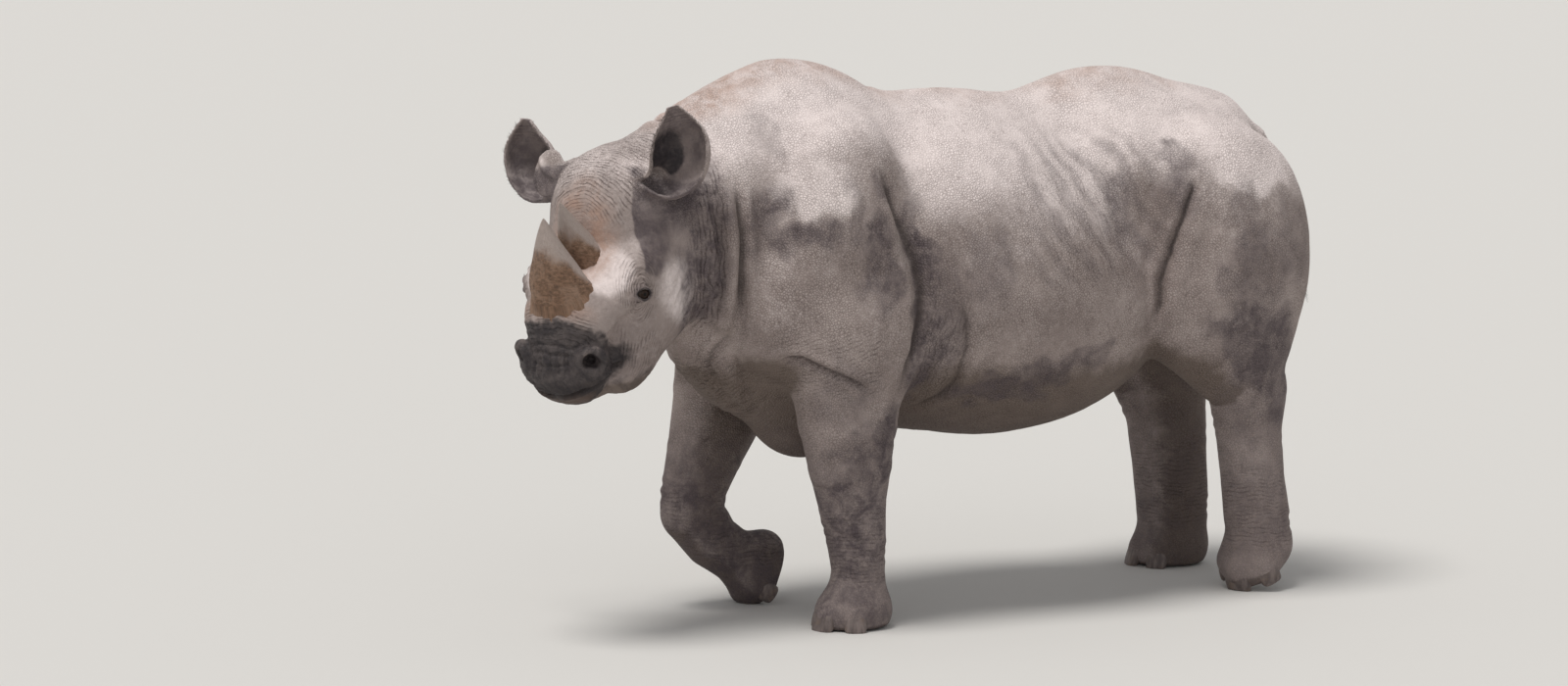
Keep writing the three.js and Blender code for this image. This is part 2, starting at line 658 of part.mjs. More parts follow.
// ---------------------------------------------------------------- the part's own frame
// Facing -Y, on the floor, with the origin under the middle of its box.
const placed = new THREE.Group();
placed.add(rhino);
rhino.rotation.z = -Math.PI / 2;
rhino.updateMatrixWorld(true);
const box = new THREE.Box3().setFromObject(rhino, true);
const middle = box.getCenter(new THREE.Vector3());
rhino.position.set(-middle.x, -middle.y, -box.min.z);

export default placed;
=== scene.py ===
"""A life-size browsing rhinoceros in mid step: skin, eyes, horns, nails and hairs."""

import math

import bmesh
import bpy
import numpy as np
from bpy.props import FloatProperty, FloatVectorProperty, IntProperty, PointerProperty
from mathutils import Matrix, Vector


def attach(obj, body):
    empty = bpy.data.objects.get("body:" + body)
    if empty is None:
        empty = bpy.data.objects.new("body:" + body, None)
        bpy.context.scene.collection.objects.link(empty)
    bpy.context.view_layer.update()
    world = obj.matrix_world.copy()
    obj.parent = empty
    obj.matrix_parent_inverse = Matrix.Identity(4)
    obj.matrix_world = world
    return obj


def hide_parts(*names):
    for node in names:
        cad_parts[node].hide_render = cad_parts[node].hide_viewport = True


bl_info = {
    "name": "Walking Rhinoceros",
    "version": (1, 0, 0),
    "blender": (4, 5, 0),
    "location": "View3D > Sidebar > Rhinoceros",
    "description": "Builds the skin, eyes, horns, nails and hairs of a walking rhinoceros",
    "category": "Object",
}

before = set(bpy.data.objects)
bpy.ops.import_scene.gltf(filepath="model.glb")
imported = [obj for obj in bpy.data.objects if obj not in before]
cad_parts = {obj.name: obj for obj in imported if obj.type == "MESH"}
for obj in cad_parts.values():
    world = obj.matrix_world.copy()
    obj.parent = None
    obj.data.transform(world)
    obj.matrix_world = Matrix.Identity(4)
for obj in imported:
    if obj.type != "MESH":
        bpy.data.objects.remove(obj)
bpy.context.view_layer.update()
FLESH = [
    name
    for name in sorted(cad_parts)
    if name.split("_")[0] in ("trunk", "neck", "head", "tail", "leg", "foot", "ear")
]


# ---------------------------------------------------------------- the animal's own frame
# Shapes are laid out in millimetres forward, left and up from the point on the floor
# under the middle of the trunk. The part's frame has x to the left and -y forward.
ORIGIN = np.array([0.00037, 0.18823, 0.0])
MM = 0.001


def to_part(points):
    """Points of the animal's frame in the part's, in metres."""
    points = np.asarray(points, float)
    return points[..., [1, 0, 2]] * (MM, -MM, MM) + ORIGIN


def placement(at, turn=0.0, drop=0.0, roll=0.0):
    """A 4x4 matrix: rolled, then dropped at its front end, then turned left, in degrees."""
    t, d, r = (math.radians(angle) for angle in (turn, drop, roll))
    about_up = [[math.cos(t), -math.sin(t), 0], [math.sin(t), math.cos(t), 0], [0, 0, 1]]
    about_left = [[math.cos(d), 0, math.sin(d)], [0, 1, 0], [-math.sin(d), 0, math.cos(d)]]
    about_front = [[1, 0, 0], [0, math.cos(r), -math.sin(r)], [0, math.sin(r), math.cos(r)]]
    made = np.eye(4)
    made[:3, :3] = np.array(about_up) @ about_left @ about_front
    made[:3, 3] = at
    return made


def carried(matrix, points):
    """Points moved by a 4x4 matrix."""
    return np.asarray(points, float) @ matrix[:3, :3].T + matrix[:3, 3]


def steady(x, low=0.0, high=1.0):
    """Rises smoothly from 0 at low to 1 at high."""
    t = np.clip((np.asarray(x, float) - low) / (high - low), 0, 1)
    return t * t * (3 - 2 * t)


def curve_through(points, count):
    """Evenly numbered points on a smooth curve through the given ones."""
    points = np.asarray(points, float)
    padded = np.vstack([2 * points[0] - points[1], points, 2 * points[-1] - points[-2]])
    at = np.linspace(0, len(points) - 1, count)
    start = np.minimum(at.astype(int), len(points) - 2)
    t = (at - start)[:, None]
    a, b, c, d = (padded[start + n] for n in range(4))
    return 0.5 * (2 * b + (c - a) * t + (2 * a - 5 * b + 4 * c - d) * t**2
                  + (3 * b - a - 3 * c + d) * t**3)


def lattice_noise(points, size, seed):
    """Smooth noise from -1 to 1 with features about as wide as size."""
    p = np.asarray(points, float) / size + seed * 17.3
    cell = np.floor(p).astype(np.int64)
    part = p - cell
    part = part * part * (3 - 2 * part)
    total = np.zeros(len(p))
    for corner in np.ndindex(2, 2, 2):
        x, y, z = (cell + corner).T
        mixed = (x * 73856093) ^ (y * 19349663) ^ (z * 83492791) ^ (seed * 2654435)
        mixed = (mixed ^ (mixed >> 13)) * 1274126177 & 0xFFFFFFF
        value = (mixed ^ (mixed >> 9)) % 65536 / 32768 - 1
        weight = np.prod(np.where(corner, part, 1 - part), axis=1)
        total += weight * value
    return total


def layered_noise(points, size, seed, layers=3):
    """Noise with finer and fainter layers added."""
    return sum(
        lattice_noise(points, size / 2**n, seed + n) / 2**n for n in range(layers)
    ) / 1.5


# ---------------------------------------------------------------- rounded masses
class Mass:
    """A rounded form: how far a point is from it, the box it fills, and the width over
    which it melts into the flesh before it. One that carves is taken away instead."""

    def __init__(self, distance, low, high, melt, carve=False):
        self.distance = distance
        self.low = np.asarray(low, float)
        self.high = np.asarray(high, float)
        self.melt = melt
        self.carve = carve

    def added_to(self, flesh, away):
        sign = -1 if self.carve else 1
        flesh = sign * flesh
        bridge = np.maximum(self.melt - np.abs(flesh - away), 0) / self.melt
        return sign * (np.minimum(flesh, away) - bridge * bridge * self.melt / 4)


def ball(at, size, turn=0, drop=0, roll=0, melt=90, parent=None, carve=False):
    """An egg with three half sizes, turned about its middle."""
    placed = placement(at, turn, drop, roll)
    if parent is not None:
        placed = parent @ placed
    back = np.linalg.inv(placed)
    reach = np.sqrt(((placed[:3, :3] * size) ** 2).sum(axis=1))

    def distance(x, y, z):
        u, v, w = (
            (back[i, 0] * x + back[i, 1] * y + back[i, 2] * z + back[i, 3]) / size[i]
            for i in range(3)
        )
        near = np.sqrt(u * u + v * v + w * w)
        steep = np.sqrt((u / size[0]) ** 2 + (v / size[1]) ** 2 + (w / size[2]) ** 2)
        return near * (near - 1) / np.maximum(steep, 1e-9)

    centre = placed[:3, 3]
    return Mass(distance, centre - reach, centre + reach, melt, carve)


def limb(joints, melt=60, splay=0):
    """Runs through joints (forward, left, up, half depth, half width)."""
    side_f, side_l = -math.sin(math.radians(splay)), math.cos(math.radians(splay))

    def distance(x, y, z):
        nearest = np.inf
        for near, far in zip(joints, joints[1:]):
            ax, ay, az = (far[i] - near[i] for i in range(3))
            px, py, pz = x - near[0], y - near[1], z - near[2]
            t = np.clip((px * ax + py * ay + pz * az) / (ax * ax + ay * ay + az * az), 0, 1)
            deep = near[3] + (far[3] - near[3]) * t
            wide = near[4] + (far[4] - near[4]) * t
            ox, oy, oz = px - ax * t, py - ay * t, pz - az * t
            swell = (ox * side_f + oy * side_l) * (deep / wide - 1)
            off = np.sqrt((ox + side_f * swell) ** 2 + (oy + side_l * swell) ** 2 + oz * oz)
            nearest = np.minimum(nearest, (off - deep) * np.minimum(1, wide / deep))
        return nearest

    spots = np.array([joint[:3] for joint in joints], float)
    around = max(max(joint[3:]) for joint in joints)
    return Mass(distance, spots.min(axis=0) - around, spots.max(axis=0) + around, melt)


def rope(points, radii, melt=20, carve=False):
    """A round rope along a smooth curve, with a radius at each given point."""
    count = 8 * len(points)
    spine = curve_through(points, count)
    thick = np.interp(np.linspace(0, 1, count), np.linspace(0, 1, len(radii)), radii)

    def distance(x, y, z):
        nearest = np.inf
        for (a, b, c), radius in zip(spine, thick):
            off = np.sqrt((x - a) ** 2 + (y - b) ** 2 + (z - c) ** 2)
            nearest = np.minimum(nearest, off - radius)
        return nearest

    around = max(radii)
    return Mass(distance, spine.min(axis=0) - around, spine.max(axis=0) + around, melt, carve)


def both(make):
    return [make(1), make(-1)]


def on_side(spot, side):
    """A place given for the left, or its mirror image if side is -1."""
    return np.array(spot, float) * (1, side, 1)


# ---------------------------------------------------------------- trunk, neck, legs, tail
TRUNK = [
    ball([150, 0, 1000], [620, 435, 455], melt=1),  # ribcage
    ball([-20, 0, 865], [600, 450, 385], drop=-2),  # belly
    ball([-520, 0, 1150], [430, 325, 310]),  # loins and croup
    ball([-410, 0, 1345], [290, 115, 160]),  # ridge over the hips
    ball([-740, 0, 1265], [190, 140, 150], drop=25),  # root of the tail
    ball([590, 0, 1230], [350, 235, 312]),  # withers
    ball([110, 0, 1280], [470, 130, 165]),  # spine
    ball([600, 0, 980], [330, 310, 370]),  # chest
    ball([690, 0, 800], [320, 190, 220], drop=-33),  # brisket
    ball([545, 0, 560], [130, 120, 110]),  # fold of the brisket
    # shoulder blades, points of the shoulders, upper arms
    *both(lambda side: ball([590, side * 265, 1130], [190, 145, 320], drop=-10, melt=70)),
    *both(lambda side: ball([725, side * 225, 900], [150, 140, 190], melt=70)),
    *both(lambda side: ball([530, side * 295, 850], [205, 130, 230], melt=60)),
    # haunches, stifles, buttocks
    *both(lambda side: ball([-690, side * 260, 985], [275, 170, 390], drop=10, melt=55)),
    *both(lambda side: ball([-570, side * 290, 830], [160, 125, 200], drop=25, melt=50)),
    *both(lambda side: ball([-835, side * 180, 1030], [150, 145, 270])),
]

NECK = [
    limb([(620, 0, 1200, 345, 265), (1110, 50, 1150, 232, 195)], melt=120),
    ball([850, 20, 1282], [236, 116, 166], drop=22),  # crest of the nape
    *both(lambda side: ball([900, side * 195, 1110], [75, 85, 240], drop=-6, melt=60)),
]

TAIL_JOINTS = [
    (-840, 0, 1330, 62, 62),
    (-960, 4, 1270, 48, 48),
    (-1046, 8, 1160, 36, 36),
    (-1092, 14, 1020, 27, 27),
    (-1106, 20, 880, 21, 21),
]
TAIL = limb(TAIL_JOINTS, melt=40)

# Each leg: its splay to the left, its joints, and where its foot stands and how it tips.
LEGS = {
    "front_left": {
        "splay": 8,
        "chain": [
            (560, 275, 800, 185, 128),
            (548, 265, 600, 152, 124),
            (538, 258, 470, 126, 104),
            (526, 253, 350, 98, 90),
            (512, 250, 248, 84, 84),
            (506, 250, 160, 74, 78),
            (508, 250, 80, 84, 84),
        ],
        "foot": [522, 250, 0],
        "drop": 0,
    },
    "front_right": {
        "splay": -6,
        "chain": [
            (590, -275, 800, 185, 128),
            (640, -268, 620, 150, 120),
            (706, -260, 450, 112, 94),
            (746, -257, 345, 94, 86),
            (752, -256, 275, 92, 86),
            (690, -255, 190, 80, 80),
            (602, -254, 128, 76, 78),
        ],
        "foot": [506, -253, 84],
        "drop": 68,
    },
    "hind_left": {
        "splay": 18,
        "chain": [
            (-690, 265, 900, 240, 132),
            (-748, 258, 720, 190, 118),
            (-792, 249, 590, 134, 96),
            (-806, 244, 450, 108, 84),
            (-820, 241, 320, 104, 82),
            (-838, 240, 210, 106, 86),
            (-848, 240, 140, 92, 88),
        ],
        "foot": [-846, 242, 66],
        "drop": 38,
    },
    "hind_right": {
        "splay": -18,
        "chain": [
            (-690, -265, 900, 240, 132),
            (-750, -258, 720, 195, 118),
            (-815, -249, 570, 146, 98),
            (-838, -244, 440, 120, 86),
            (-848, -241, 320, 112, 84),
            (-858, -240, 200, 108, 86),
            (-862, -240, 90, 100, 94),
        ],
        "foot": [-846, -243, 0],
        "drop": 0,
    },
}
FOOT_DEEP, FOOT_WIDE = 112, 102
NAIL_TURNS = (-56, 0, 56)


def foot_frame(leg):
    """The frame of a foot, in the middle of its sole."""
    return placement(leg["foot"], turn=leg["splay"], drop=leg["drop"])


def level_cut(placed, reach, melt):
    """Takes away what lies below a plane, within reach of its middle."""
    back = np.linalg.inv(placed)
    middle = placed[:3, 3]

    def distance(x, y, z):
        return back[2, 0] * x + back[2, 1] * y + back[2, 2] * z + back[2, 3]

    return Mass(distance, middle - reach, middle + reach, melt, carve=True)


def foot_masses(leg):
    """A round pad with three toes, cut level at the sole."""
    own = foot_frame(leg)
    pad = ball([0, 0, 40], [FOOT_DEEP, FOOT_WIDE, 80], melt=40, parent=own)
    toes = []
    for turn in NAIL_TURNS:
        way = placement([0, 0, 0], turn=turn)
        ahead = 66 if turn else 74
        toes.append(ball([ahead, 0, 34], [42, 40, 52], melt=16, parent=own @ way))
    return [pad, *toes, level_cut(own, 130, 14)]


# ---------------------------------------------------------------- head
# In the head's frame x runs down the face to the lips, y to its left and z out of the brow.
HEAD_DROP = 58
HEAD = placement([1158, 62, 1270], turn=27, drop=HEAD_DROP)
EYE_AT = (326, 180, -10)
EYE_RADIUS = 24


def head_ball(at, size, **more):
    return ball(at, size, melt=more.pop("melt", 45), parent=HEAD, **more)


SKULL = [
    head_ball([90, 0, 0], [135, 152, 128], melt=70),  # cranium
    head_ball([45, 0, 62], [74, 122, 52]),  # poll
    head_ball([200, 0, -8], [190, 152, 66]),  # forehead
    *both(lambda side: head_ball([300, side * 130, 0], [100, 60, 52])),  # brow
    head_ball([390, 0, 5], [180, 124, 72]),  # bridge of the nose
    head_ball([425, 0, 34], [108, 126, 86]),  # boss under the front horn
    head_ball([540, 0, -40], [96, 122, 88], drop=6),  # muzzle
    head_ball([580, 0, -80], [56, 90, 52], drop=25, melt=35),  # upper lip
    *both(lambda side: head_ball([545, side * 96, -22], [52, 36, 42], melt=25)),  # wing
    *both(lambda side: head_ball([240, side * 120, -150], [165, 84, 165], drop=-6)),  # cheek
    *both(lambda side: head_ball([365, side * 76, -160], [190, 96, 112], drop=4)),  # jaw
    head_ball([505, 0, -135], [92, 92, 52], drop=8, melt=35),  # chin
    head_ball([50, 0, -110], [130, 140, 120], melt=80),  # throat latch
]


def level_axes(side, look):
    """A direction in the head's frame, with the level one and the rising one across it."""
    look = on_side(look, side)
    look /= np.linalg.norm(look)
    hang = math.radians(HEAD_DROP)
    rise = np.array([-math.sin(hang), 0, math.cos(hang)])
    rise -= look * (rise @ look)
    rise /= np.linalg.norm(rise)
    return look, np.cross(rise, look), rise


EYE_LOOK = (0.24, 0.9, 0.37)
NOSTRIL_AT = (548, 108, 12)
NOSTRIL_LOOK = (0.42, 0.7, 0.55)


def eye_ring(side, radius, long, tall):
    """Points round the opening of the lids, on a ball about the eye's centre."""
    out, across, up = level_axes(side, EYE_LOOK)
    turn = np.linspace(0, 2 * math.pi, 17)[:-1]
    level = np.sin(math.radians(long)) * np.cos(turn)
    rise = np.sin(math.radians(tall)) * np.sin(turn) * (1 - 0.25 * np.cos(turn) ** 2)
    depth = np.sqrt(np.maximum(0, 1 - level**2 - rise**2))
    ring = np.outer(level, across) + np.outer(rise, up) + np.outer(depth, out)
    return carried(HEAD, on_side(EYE_AT, side) + radius * ring)


def eye_masses(side):
    """Thick lids round the ball of the eye, and the socket between them."""
    ring = eye_ring(side, 25, 62, 42)
    lids = rope(np.concatenate([ring, ring[:1]]), [7.5, 7.5], melt=14)
    centre = on_side(EYE_AT, side)
    out, _, _ = level_axes(side, EYE_LOOK)
    socket = head_ball(centre, [EYE_RADIUS + 0.5] * 3, melt=1.5, carve=True)
    opening = head_ball(centre + out * 24, [20, 20, 20], melt=10, carve=True)
    corner = head_ball(centre + (16, -8 * side, -14), [12, 12, 12], melt=8)
    return [opening, lids, socket, corner]


def nostril_masses(side):
    """A hollow that runs in and back under a thick hood, with a flat lip below it."""
    out, across, up = level_axes(side, NOSTRIL_LOOK)
    back = across * side
    start = on_side(NOSTRIL_AT, side)

    def path(*steps):
        return carried(HEAD, np.array([start + back * b + up * u + out * o for b, u, o in steps]))

    hood = path((-32, -10, 0), (-27, 14, 6), (-8, 28, 8), (16, 25, 8), (32, 8, 5), (34, -14, 0))
    hollow = path((-8, 4, 26), (-4, 2, 2), (6, -2, -22))
    corner = path((22, -10, 20), (10, -4, 2))
    lip = path((-32, -24, -4), (-6, -27, 3), (24, -24, 0), (42, -14, -8))
    return [
        rope(hood, [9, 13, 16, 17, 15, 10], melt=15),
        rope(hollow, [18, 17, 10], melt=11, carve=True),
        rope(corner, [8, 11], melt=10, carve=True),
        rope(lip, [9, 11, 10, 7], melt=8),
    ]


# ---------------------------------------------------------------- ears
# An ear is a scoop: a rolled tube at its root that opens into a leaf. It leaves the head
# sideways, bends up towards its tip, and its mouth faces the way that is given. The root
# is in the head's frame; the bend and the tip are measured from it in the animal's frame.
# "open" is half of the scoop's arc from root to tip, in degrees.
EARS = {
    "left": {
        "root": (6, 112, 40),
        "bend": (-62, 176, -15),
        "tip": (-8, 136, 208),
        "mouth": (0.62, 0.78, 0),
        "open": (179, 152, 124, 106, 96, 88, 80),
    },
    "right": {
        "root": (6, -104, 40),
        "bend": (66, -250, -96),
        "tip": (58, -214, 132),
        "mouth": (0.85, 0.5, 0),
        "open": (179, 140, 104, 92, 88, 84, 80),
    },
}
EAR_HALF = 76
EAR_WIDTHS = (0.5, 0.54, 0.78, 0.98, 1.02, 0.86, 0.2)  # from root to tip
EAR_SKIN = (16, 13, 11, 10, 10, 9, 9)  # thickness
EAR_RINGS = 72
EAR_ROOM = 100  # how far the leaf reaches from the middle of its rings


def ear_rings(ear, count):
    """For each ring up the ear: its centre, its axes (up, back, across), its radius, half
    of its arc and half of its thickness."""
    t = np.linspace(0, 1, count)
    stops = [np.stack([s, s, s], axis=1) for s in (EAR_WIDTHS, ear["open"], EAR_SKIN)]
    width, arc, skin = (curve_through(s, count)[:, 0] for s in stops)
    width, arc = width * EAR_HALF, np.radians(arc)
    bend, tip = np.array(ear["bend"], float), np.array(ear["tip"], float)
    spine = carried(HEAD, ear["root"]) + 2 * np.outer(t * (1 - t), bend) + np.outer(t * t, tip)
    up = np.outer(1 - 2 * t, bend) + np.outer(t, tip)
    up /= np.linalg.norm(up, axis=1)[:, None]
    mouth = np.array(ear["mouth"], float)
    ahead = mouth - up * (up @ mouth)[:, None]
    ahead /= np.linalg.norm(ahead, axis=1)[:, None]
    radius = width / np.sin(np.minimum(arc, math.pi / 2))
    centre = spine - ahead * (radius * np.cos(arc) * 0.5)[:, None]
    return centre, up, -ahead, np.cross(up, ahead), radius, arc, skin / 2


def ear_mass(ear):
    """The scoop of an ear, as thick as its rings say."""
    rings = list(zip(*ear_rings(ear, EAR_RINGS)))

    def distance(x, y, z):
        nearest = np.inf
        for centre, up, back, across, radius, arc, half in rings:
            q = (x - centre[0], y - centre[1], z - centre[2])
            h, b, s = (
                axis[0] * q[0] + axis[1] * q[1] + axis[2] * q[2] for axis in (up, back, across)
            )
            turn = np.clip(np.arctan2(s, b), -arc, arc)
            off = (b - radius * np.cos(turn)) ** 2 + (s - radius * np.sin(turn)) ** 2 + h * h
            nearest = np.minimum(nearest, np.sqrt(off) - half)
        return nearest

    centres = np.array([ring[0] for ring in rings])
    low, high = centres.min(axis=0) - EAR_ROOM, centres.max(axis=0) + EAR_ROOM
    return Mass(distance, low, high, melt=18)


def all_masses():
    """The whole body's masses, in the order in which they melt together."""
    masses = [*TRUNK, *NECK]
    for leg in LEGS.values():
        masses.append(limb(leg["chain"], melt=50, splay=leg["splay"]))
        masses.extend(foot_masses(leg))
    masses.extend([TAIL, *SKULL])
    masses.extend(ear_mass(ear) for ear in EARS.values())
    # the thin front wall of the right ear's rolled tube, up to where the leaf opens
    masses.append(ball([1297, -92, 1286], [9, 68, 68], drop=-15, turn=6, melt=12))
    for side in (1, -1):
        masses.extend(nostril_masses(side))
        masses.extend(eye_masses(side))
    masses.append(level_cut(np.eye(4), np.array([1300, 600, 150]), 12))
    return masses


# ---------------------------------------------------------------- drawing the surface
FAR_OUT = 1e3  # the field's value where there is no flesh
MARGIN = 30  # how far past its box a mass is still worked out


def field_on_grid(masses, axes):
    """The distance field at every crossing of a grid."""
    field = np.full([len(axis) for axis in axes], FAR_OUT)
    for mass in masses:
        room = mass.melt + MARGIN
        cut = tuple(
            slice(*np.searchsorted(axis, [low - room, high + room]))
            for axis, low, high in zip(axes, mass.low, mass.high)
        )
        if min(s.stop - s.start for s in cut) < 1:
            continue
        x, y, z = np.ix_(*(axis[s] for axis, s in zip(axes, cut)))
        field[cut] = mass.added_to(field[cut], mass.distance(x, y, z))
    return field


def field_at(masses, points):
    """The distance field at given points."""
    field = np.full(len(points), FAR_OUT)
    for mass in masses:
        room = mass.melt + MARGIN
        near = ((points > mass.low - room) & (points < mass.high + room)).all(axis=1)
        if near.any():
            x, y, z = points[near].T
            field[near] = mass.added_to(field[near], mass.distance(x, y, z))
    return field


def net_over(field, axes):
    """A net of quads over the zero level of a field: one point for each cell that the
    surface crosses, and one quad for each grid edge that it crosses."""
    inside = field < 0
    shape = np.array(field.shape) - 1
    corners = list(np.ndindex(2, 2, 2))

    def at_corner(values, corner):
        return values[tuple(slice(c, c + n) for c, n in zip(corner, shape))]

    full = sum(at_corner(inside, corner).astype(np.int8) for corner in corners)
    crossed = (full > 0) & (full < 8)
    cells = np.argwhere(crossed)
    number = np.full(shape, -1)
    number[crossed] = np.arange(len(cells))
    values = {corner: at_corner(field, corner)[crossed] for corner in corners}
    total = np.zeros((len(cells), 3))
    count = np.zeros(len(cells))
    for axis in range(3):
        for corner in corners:
            if corner[axis]:
                continue
            other = tuple(c + (i == axis) for i, c in enumerate(corner))
            a, b = values[corner], values[other]
            cut = (a < 0) != (b < 0)
            spot = np.tile(np.array(corner, float), (cut.sum(), 1))
            spot[:, axis] = a[cut] / (a - b)[cut]
            total[cut] += spot
            count[cut] += 1
    spots = cells + total / count[:, None]
    points = np.stack(
        [np.interp(spots[:, i], np.arange(len(axes[i])), axes[i]) for i in range(3)], axis=1
    )
    quads = []
    for axis in range(3):
        u, w = (axis + 1) % 3, (axis + 2) % 3
        near = [slice(1, n) for n in shape]
        near[axis] = slice(0, shape[axis])
        far = list(near)
        far[axis] = slice(1, shape[axis] + 1)
        here, there = inside[tuple(near)], inside[tuple(far)]
        spot = np.argwhere(here != there)
        start = spot + [0 if i == axis else 1 for i in range(3)]
        ring = []
        for a, b in ((0, 0), (1, 0), (1, 1), (0, 1)):
            cell = start.copy()
            cell[:, u] -= a
            cell[:, w] -= b
            ring.append(number[tuple(cell.T)])
        made = np.stack(ring, axis=1)
        outward = here[tuple(spot.T)]
        made[~outward] = made[~outward][:, ::-1]
        quads.append(made)
    return points, np.concatenate(quads)


def relaxed(points, edges, share=0.5, rounds=1):
    """Each point moved part of the way to the middle of its neighbours."""
    ends = np.concatenate([edges, edges[:, ::-1]])
    degree = np.maximum(np.bincount(ends[:, 0], minlength=len(points)), 1)
    for _ in range(rounds):
        middle = np.stack(
            [np.bincount(ends[:, 0], points[ends[:, 1], i], len(points)) for i in range(3)],
            axis=1,
        ) / degree[:, None]
        points = points + share * (middle - points)
    return points


def landed(points, masses, steps=1):
    """Points moved onto the zero level of the field."""
    probe, most = 0.4, 3.0
    for _ in range(steps):
        here = field_at(masses, points)
        slope = np.stack(
            [field_at(masses, points + probe * np.eye(3)[i]) - here for i in range(3)], axis=1
        ) / probe
        steep = np.maximum((slope**2).sum(axis=1), 0.2)
        step = slope * (here / steep)[:, None]
        size = np.linalg.norm(step, axis=1)
        points = points - step * np.minimum(1, most / np.maximum(size, 1e-9))[:, None]
    return points


NECK_CUT = 885  # the head and the front of the neck are drawn in finer cells
# The room that is searched for each: its rear, right and low end, and its other end.
BODY_ROOM = ((-1180, -500, -20), (NECK_CUT, 500, 1640))
HEAD_ROOM = ((NECK_CUT, -420, 560), (1600, 520, 1600))
EYE_ROOM = 62  # how far round each eye the cells are halved once more
FLOOR_GAP = 0.3  # the soles stay this far above the floor


def skin_mesh(body_cell, head_cell):
    """The skin before its folds are cut: even quads, finer over the head."""
    masses = all_masses()
    body = [np.arange(low, high, body_cell) for low, high in zip(*BODY_ROOM)]
    body[0] = np.append(  # counted back from the cut, so that both nets end on it
        np.arange(NECK_CUT - body_cell, BODY_ROOM[0][0], -body_cell)[::-1], NECK_CUT)
    head = [np.arange(low, high, head_cell) for low, high in zip(*HEAD_ROOM)]
    bm = bmesh.new()
    nets = [net_over(field_on_grid(masses, axes), axes) for axes in (body, head)]
    points = np.vstack([net[0] for net in nets])
    quads = np.vstack([nets[0][1], nets[1][1] + len(nets[0][0])])
    mesh = mesh_from(points, quads, "skin_draft")
    bm.from_mesh(mesh)
    bpy.data.meshes.remove(mesh)
    bmesh.ops.bridge_loops(bm, edges=[e for e in bm.edges if e.is_boundary])
    if any(edge.is_boundary for edge in bm.edges):
        raise RuntimeError("the skin is not closed")
    eyes = [carried(HEAD, on_side(EYE_AT, side)) for side in (1, -1)]
    refine_round(bm, eyes, EYE_ROOM)
    mesh = bpy.data.meshes.new("skin_draft")
    bm.to_mesh(mesh)
    bm.free()
    edges = np.empty(2 * len(mesh.edges), np.int32)
    mesh.edges.foreach_get("vertices", edges)
    edges = edges.reshape(-1, 2)
    points = relaxed(read_points(mesh), edges, 0.5, rounds=3)
    points = landed(points, masses, steps=2)
    points = landed(relaxed(points, edges, 0.4, rounds=1), masses)
    return mesh, points


def refine_round(bm, middles, reach):
    """Halves the faces within reach of the given middles."""
    near = [
        face
        for face in bm.faces
        if any((face.calc_center_median() - Vector(m)).length < reach for m in middles)
    ]
    edges = {edge for face in near for edge in face.edges}
    bmesh.ops.subdivide_edges(bm, edges=list(edges), cuts=1, use_grid_fill=True)


def mesh_from(points, faces, name):
    """A mesh whose faces all have the same number of corners."""
    mesh = bpy.data.meshes.new(name)
    faces = np.asarray(faces)
    mesh.vertices.add(len(points))
    mesh.vertices.foreach_set("co", np.asarray(points, np.float32).ravel())
    mesh.loops.add(faces.size)
    mesh.loops.foreach_set("vertex_index", faces.ravel().astype(np.int32))
    mesh.polygons.add(len(faces))
    starts = np.arange(0, faces.size, faces.shape[1], dtype=np.int32)
    mesh.polygons.foreach_set("loop_start", starts)
    mesh.update(calc_edges=True)
    mesh.validate()
    return mesh


def read_points(mesh, what="vertices", key="co"):
    items = getattr(mesh, what)
    out = np.empty(len(items) * 3, np.float32)
    items.foreach_get(key, out)
    return out.reshape(-1, 3).astype(float)


# ---------------------------------------------------------------- folds and wrinkles
MOST_PAIRS = 4_000_000  # of points and steps of a path, compared at one time
LID_ROOM, LID_DEPTH = 70, 3.6  # near an eye no fold is deeper than this


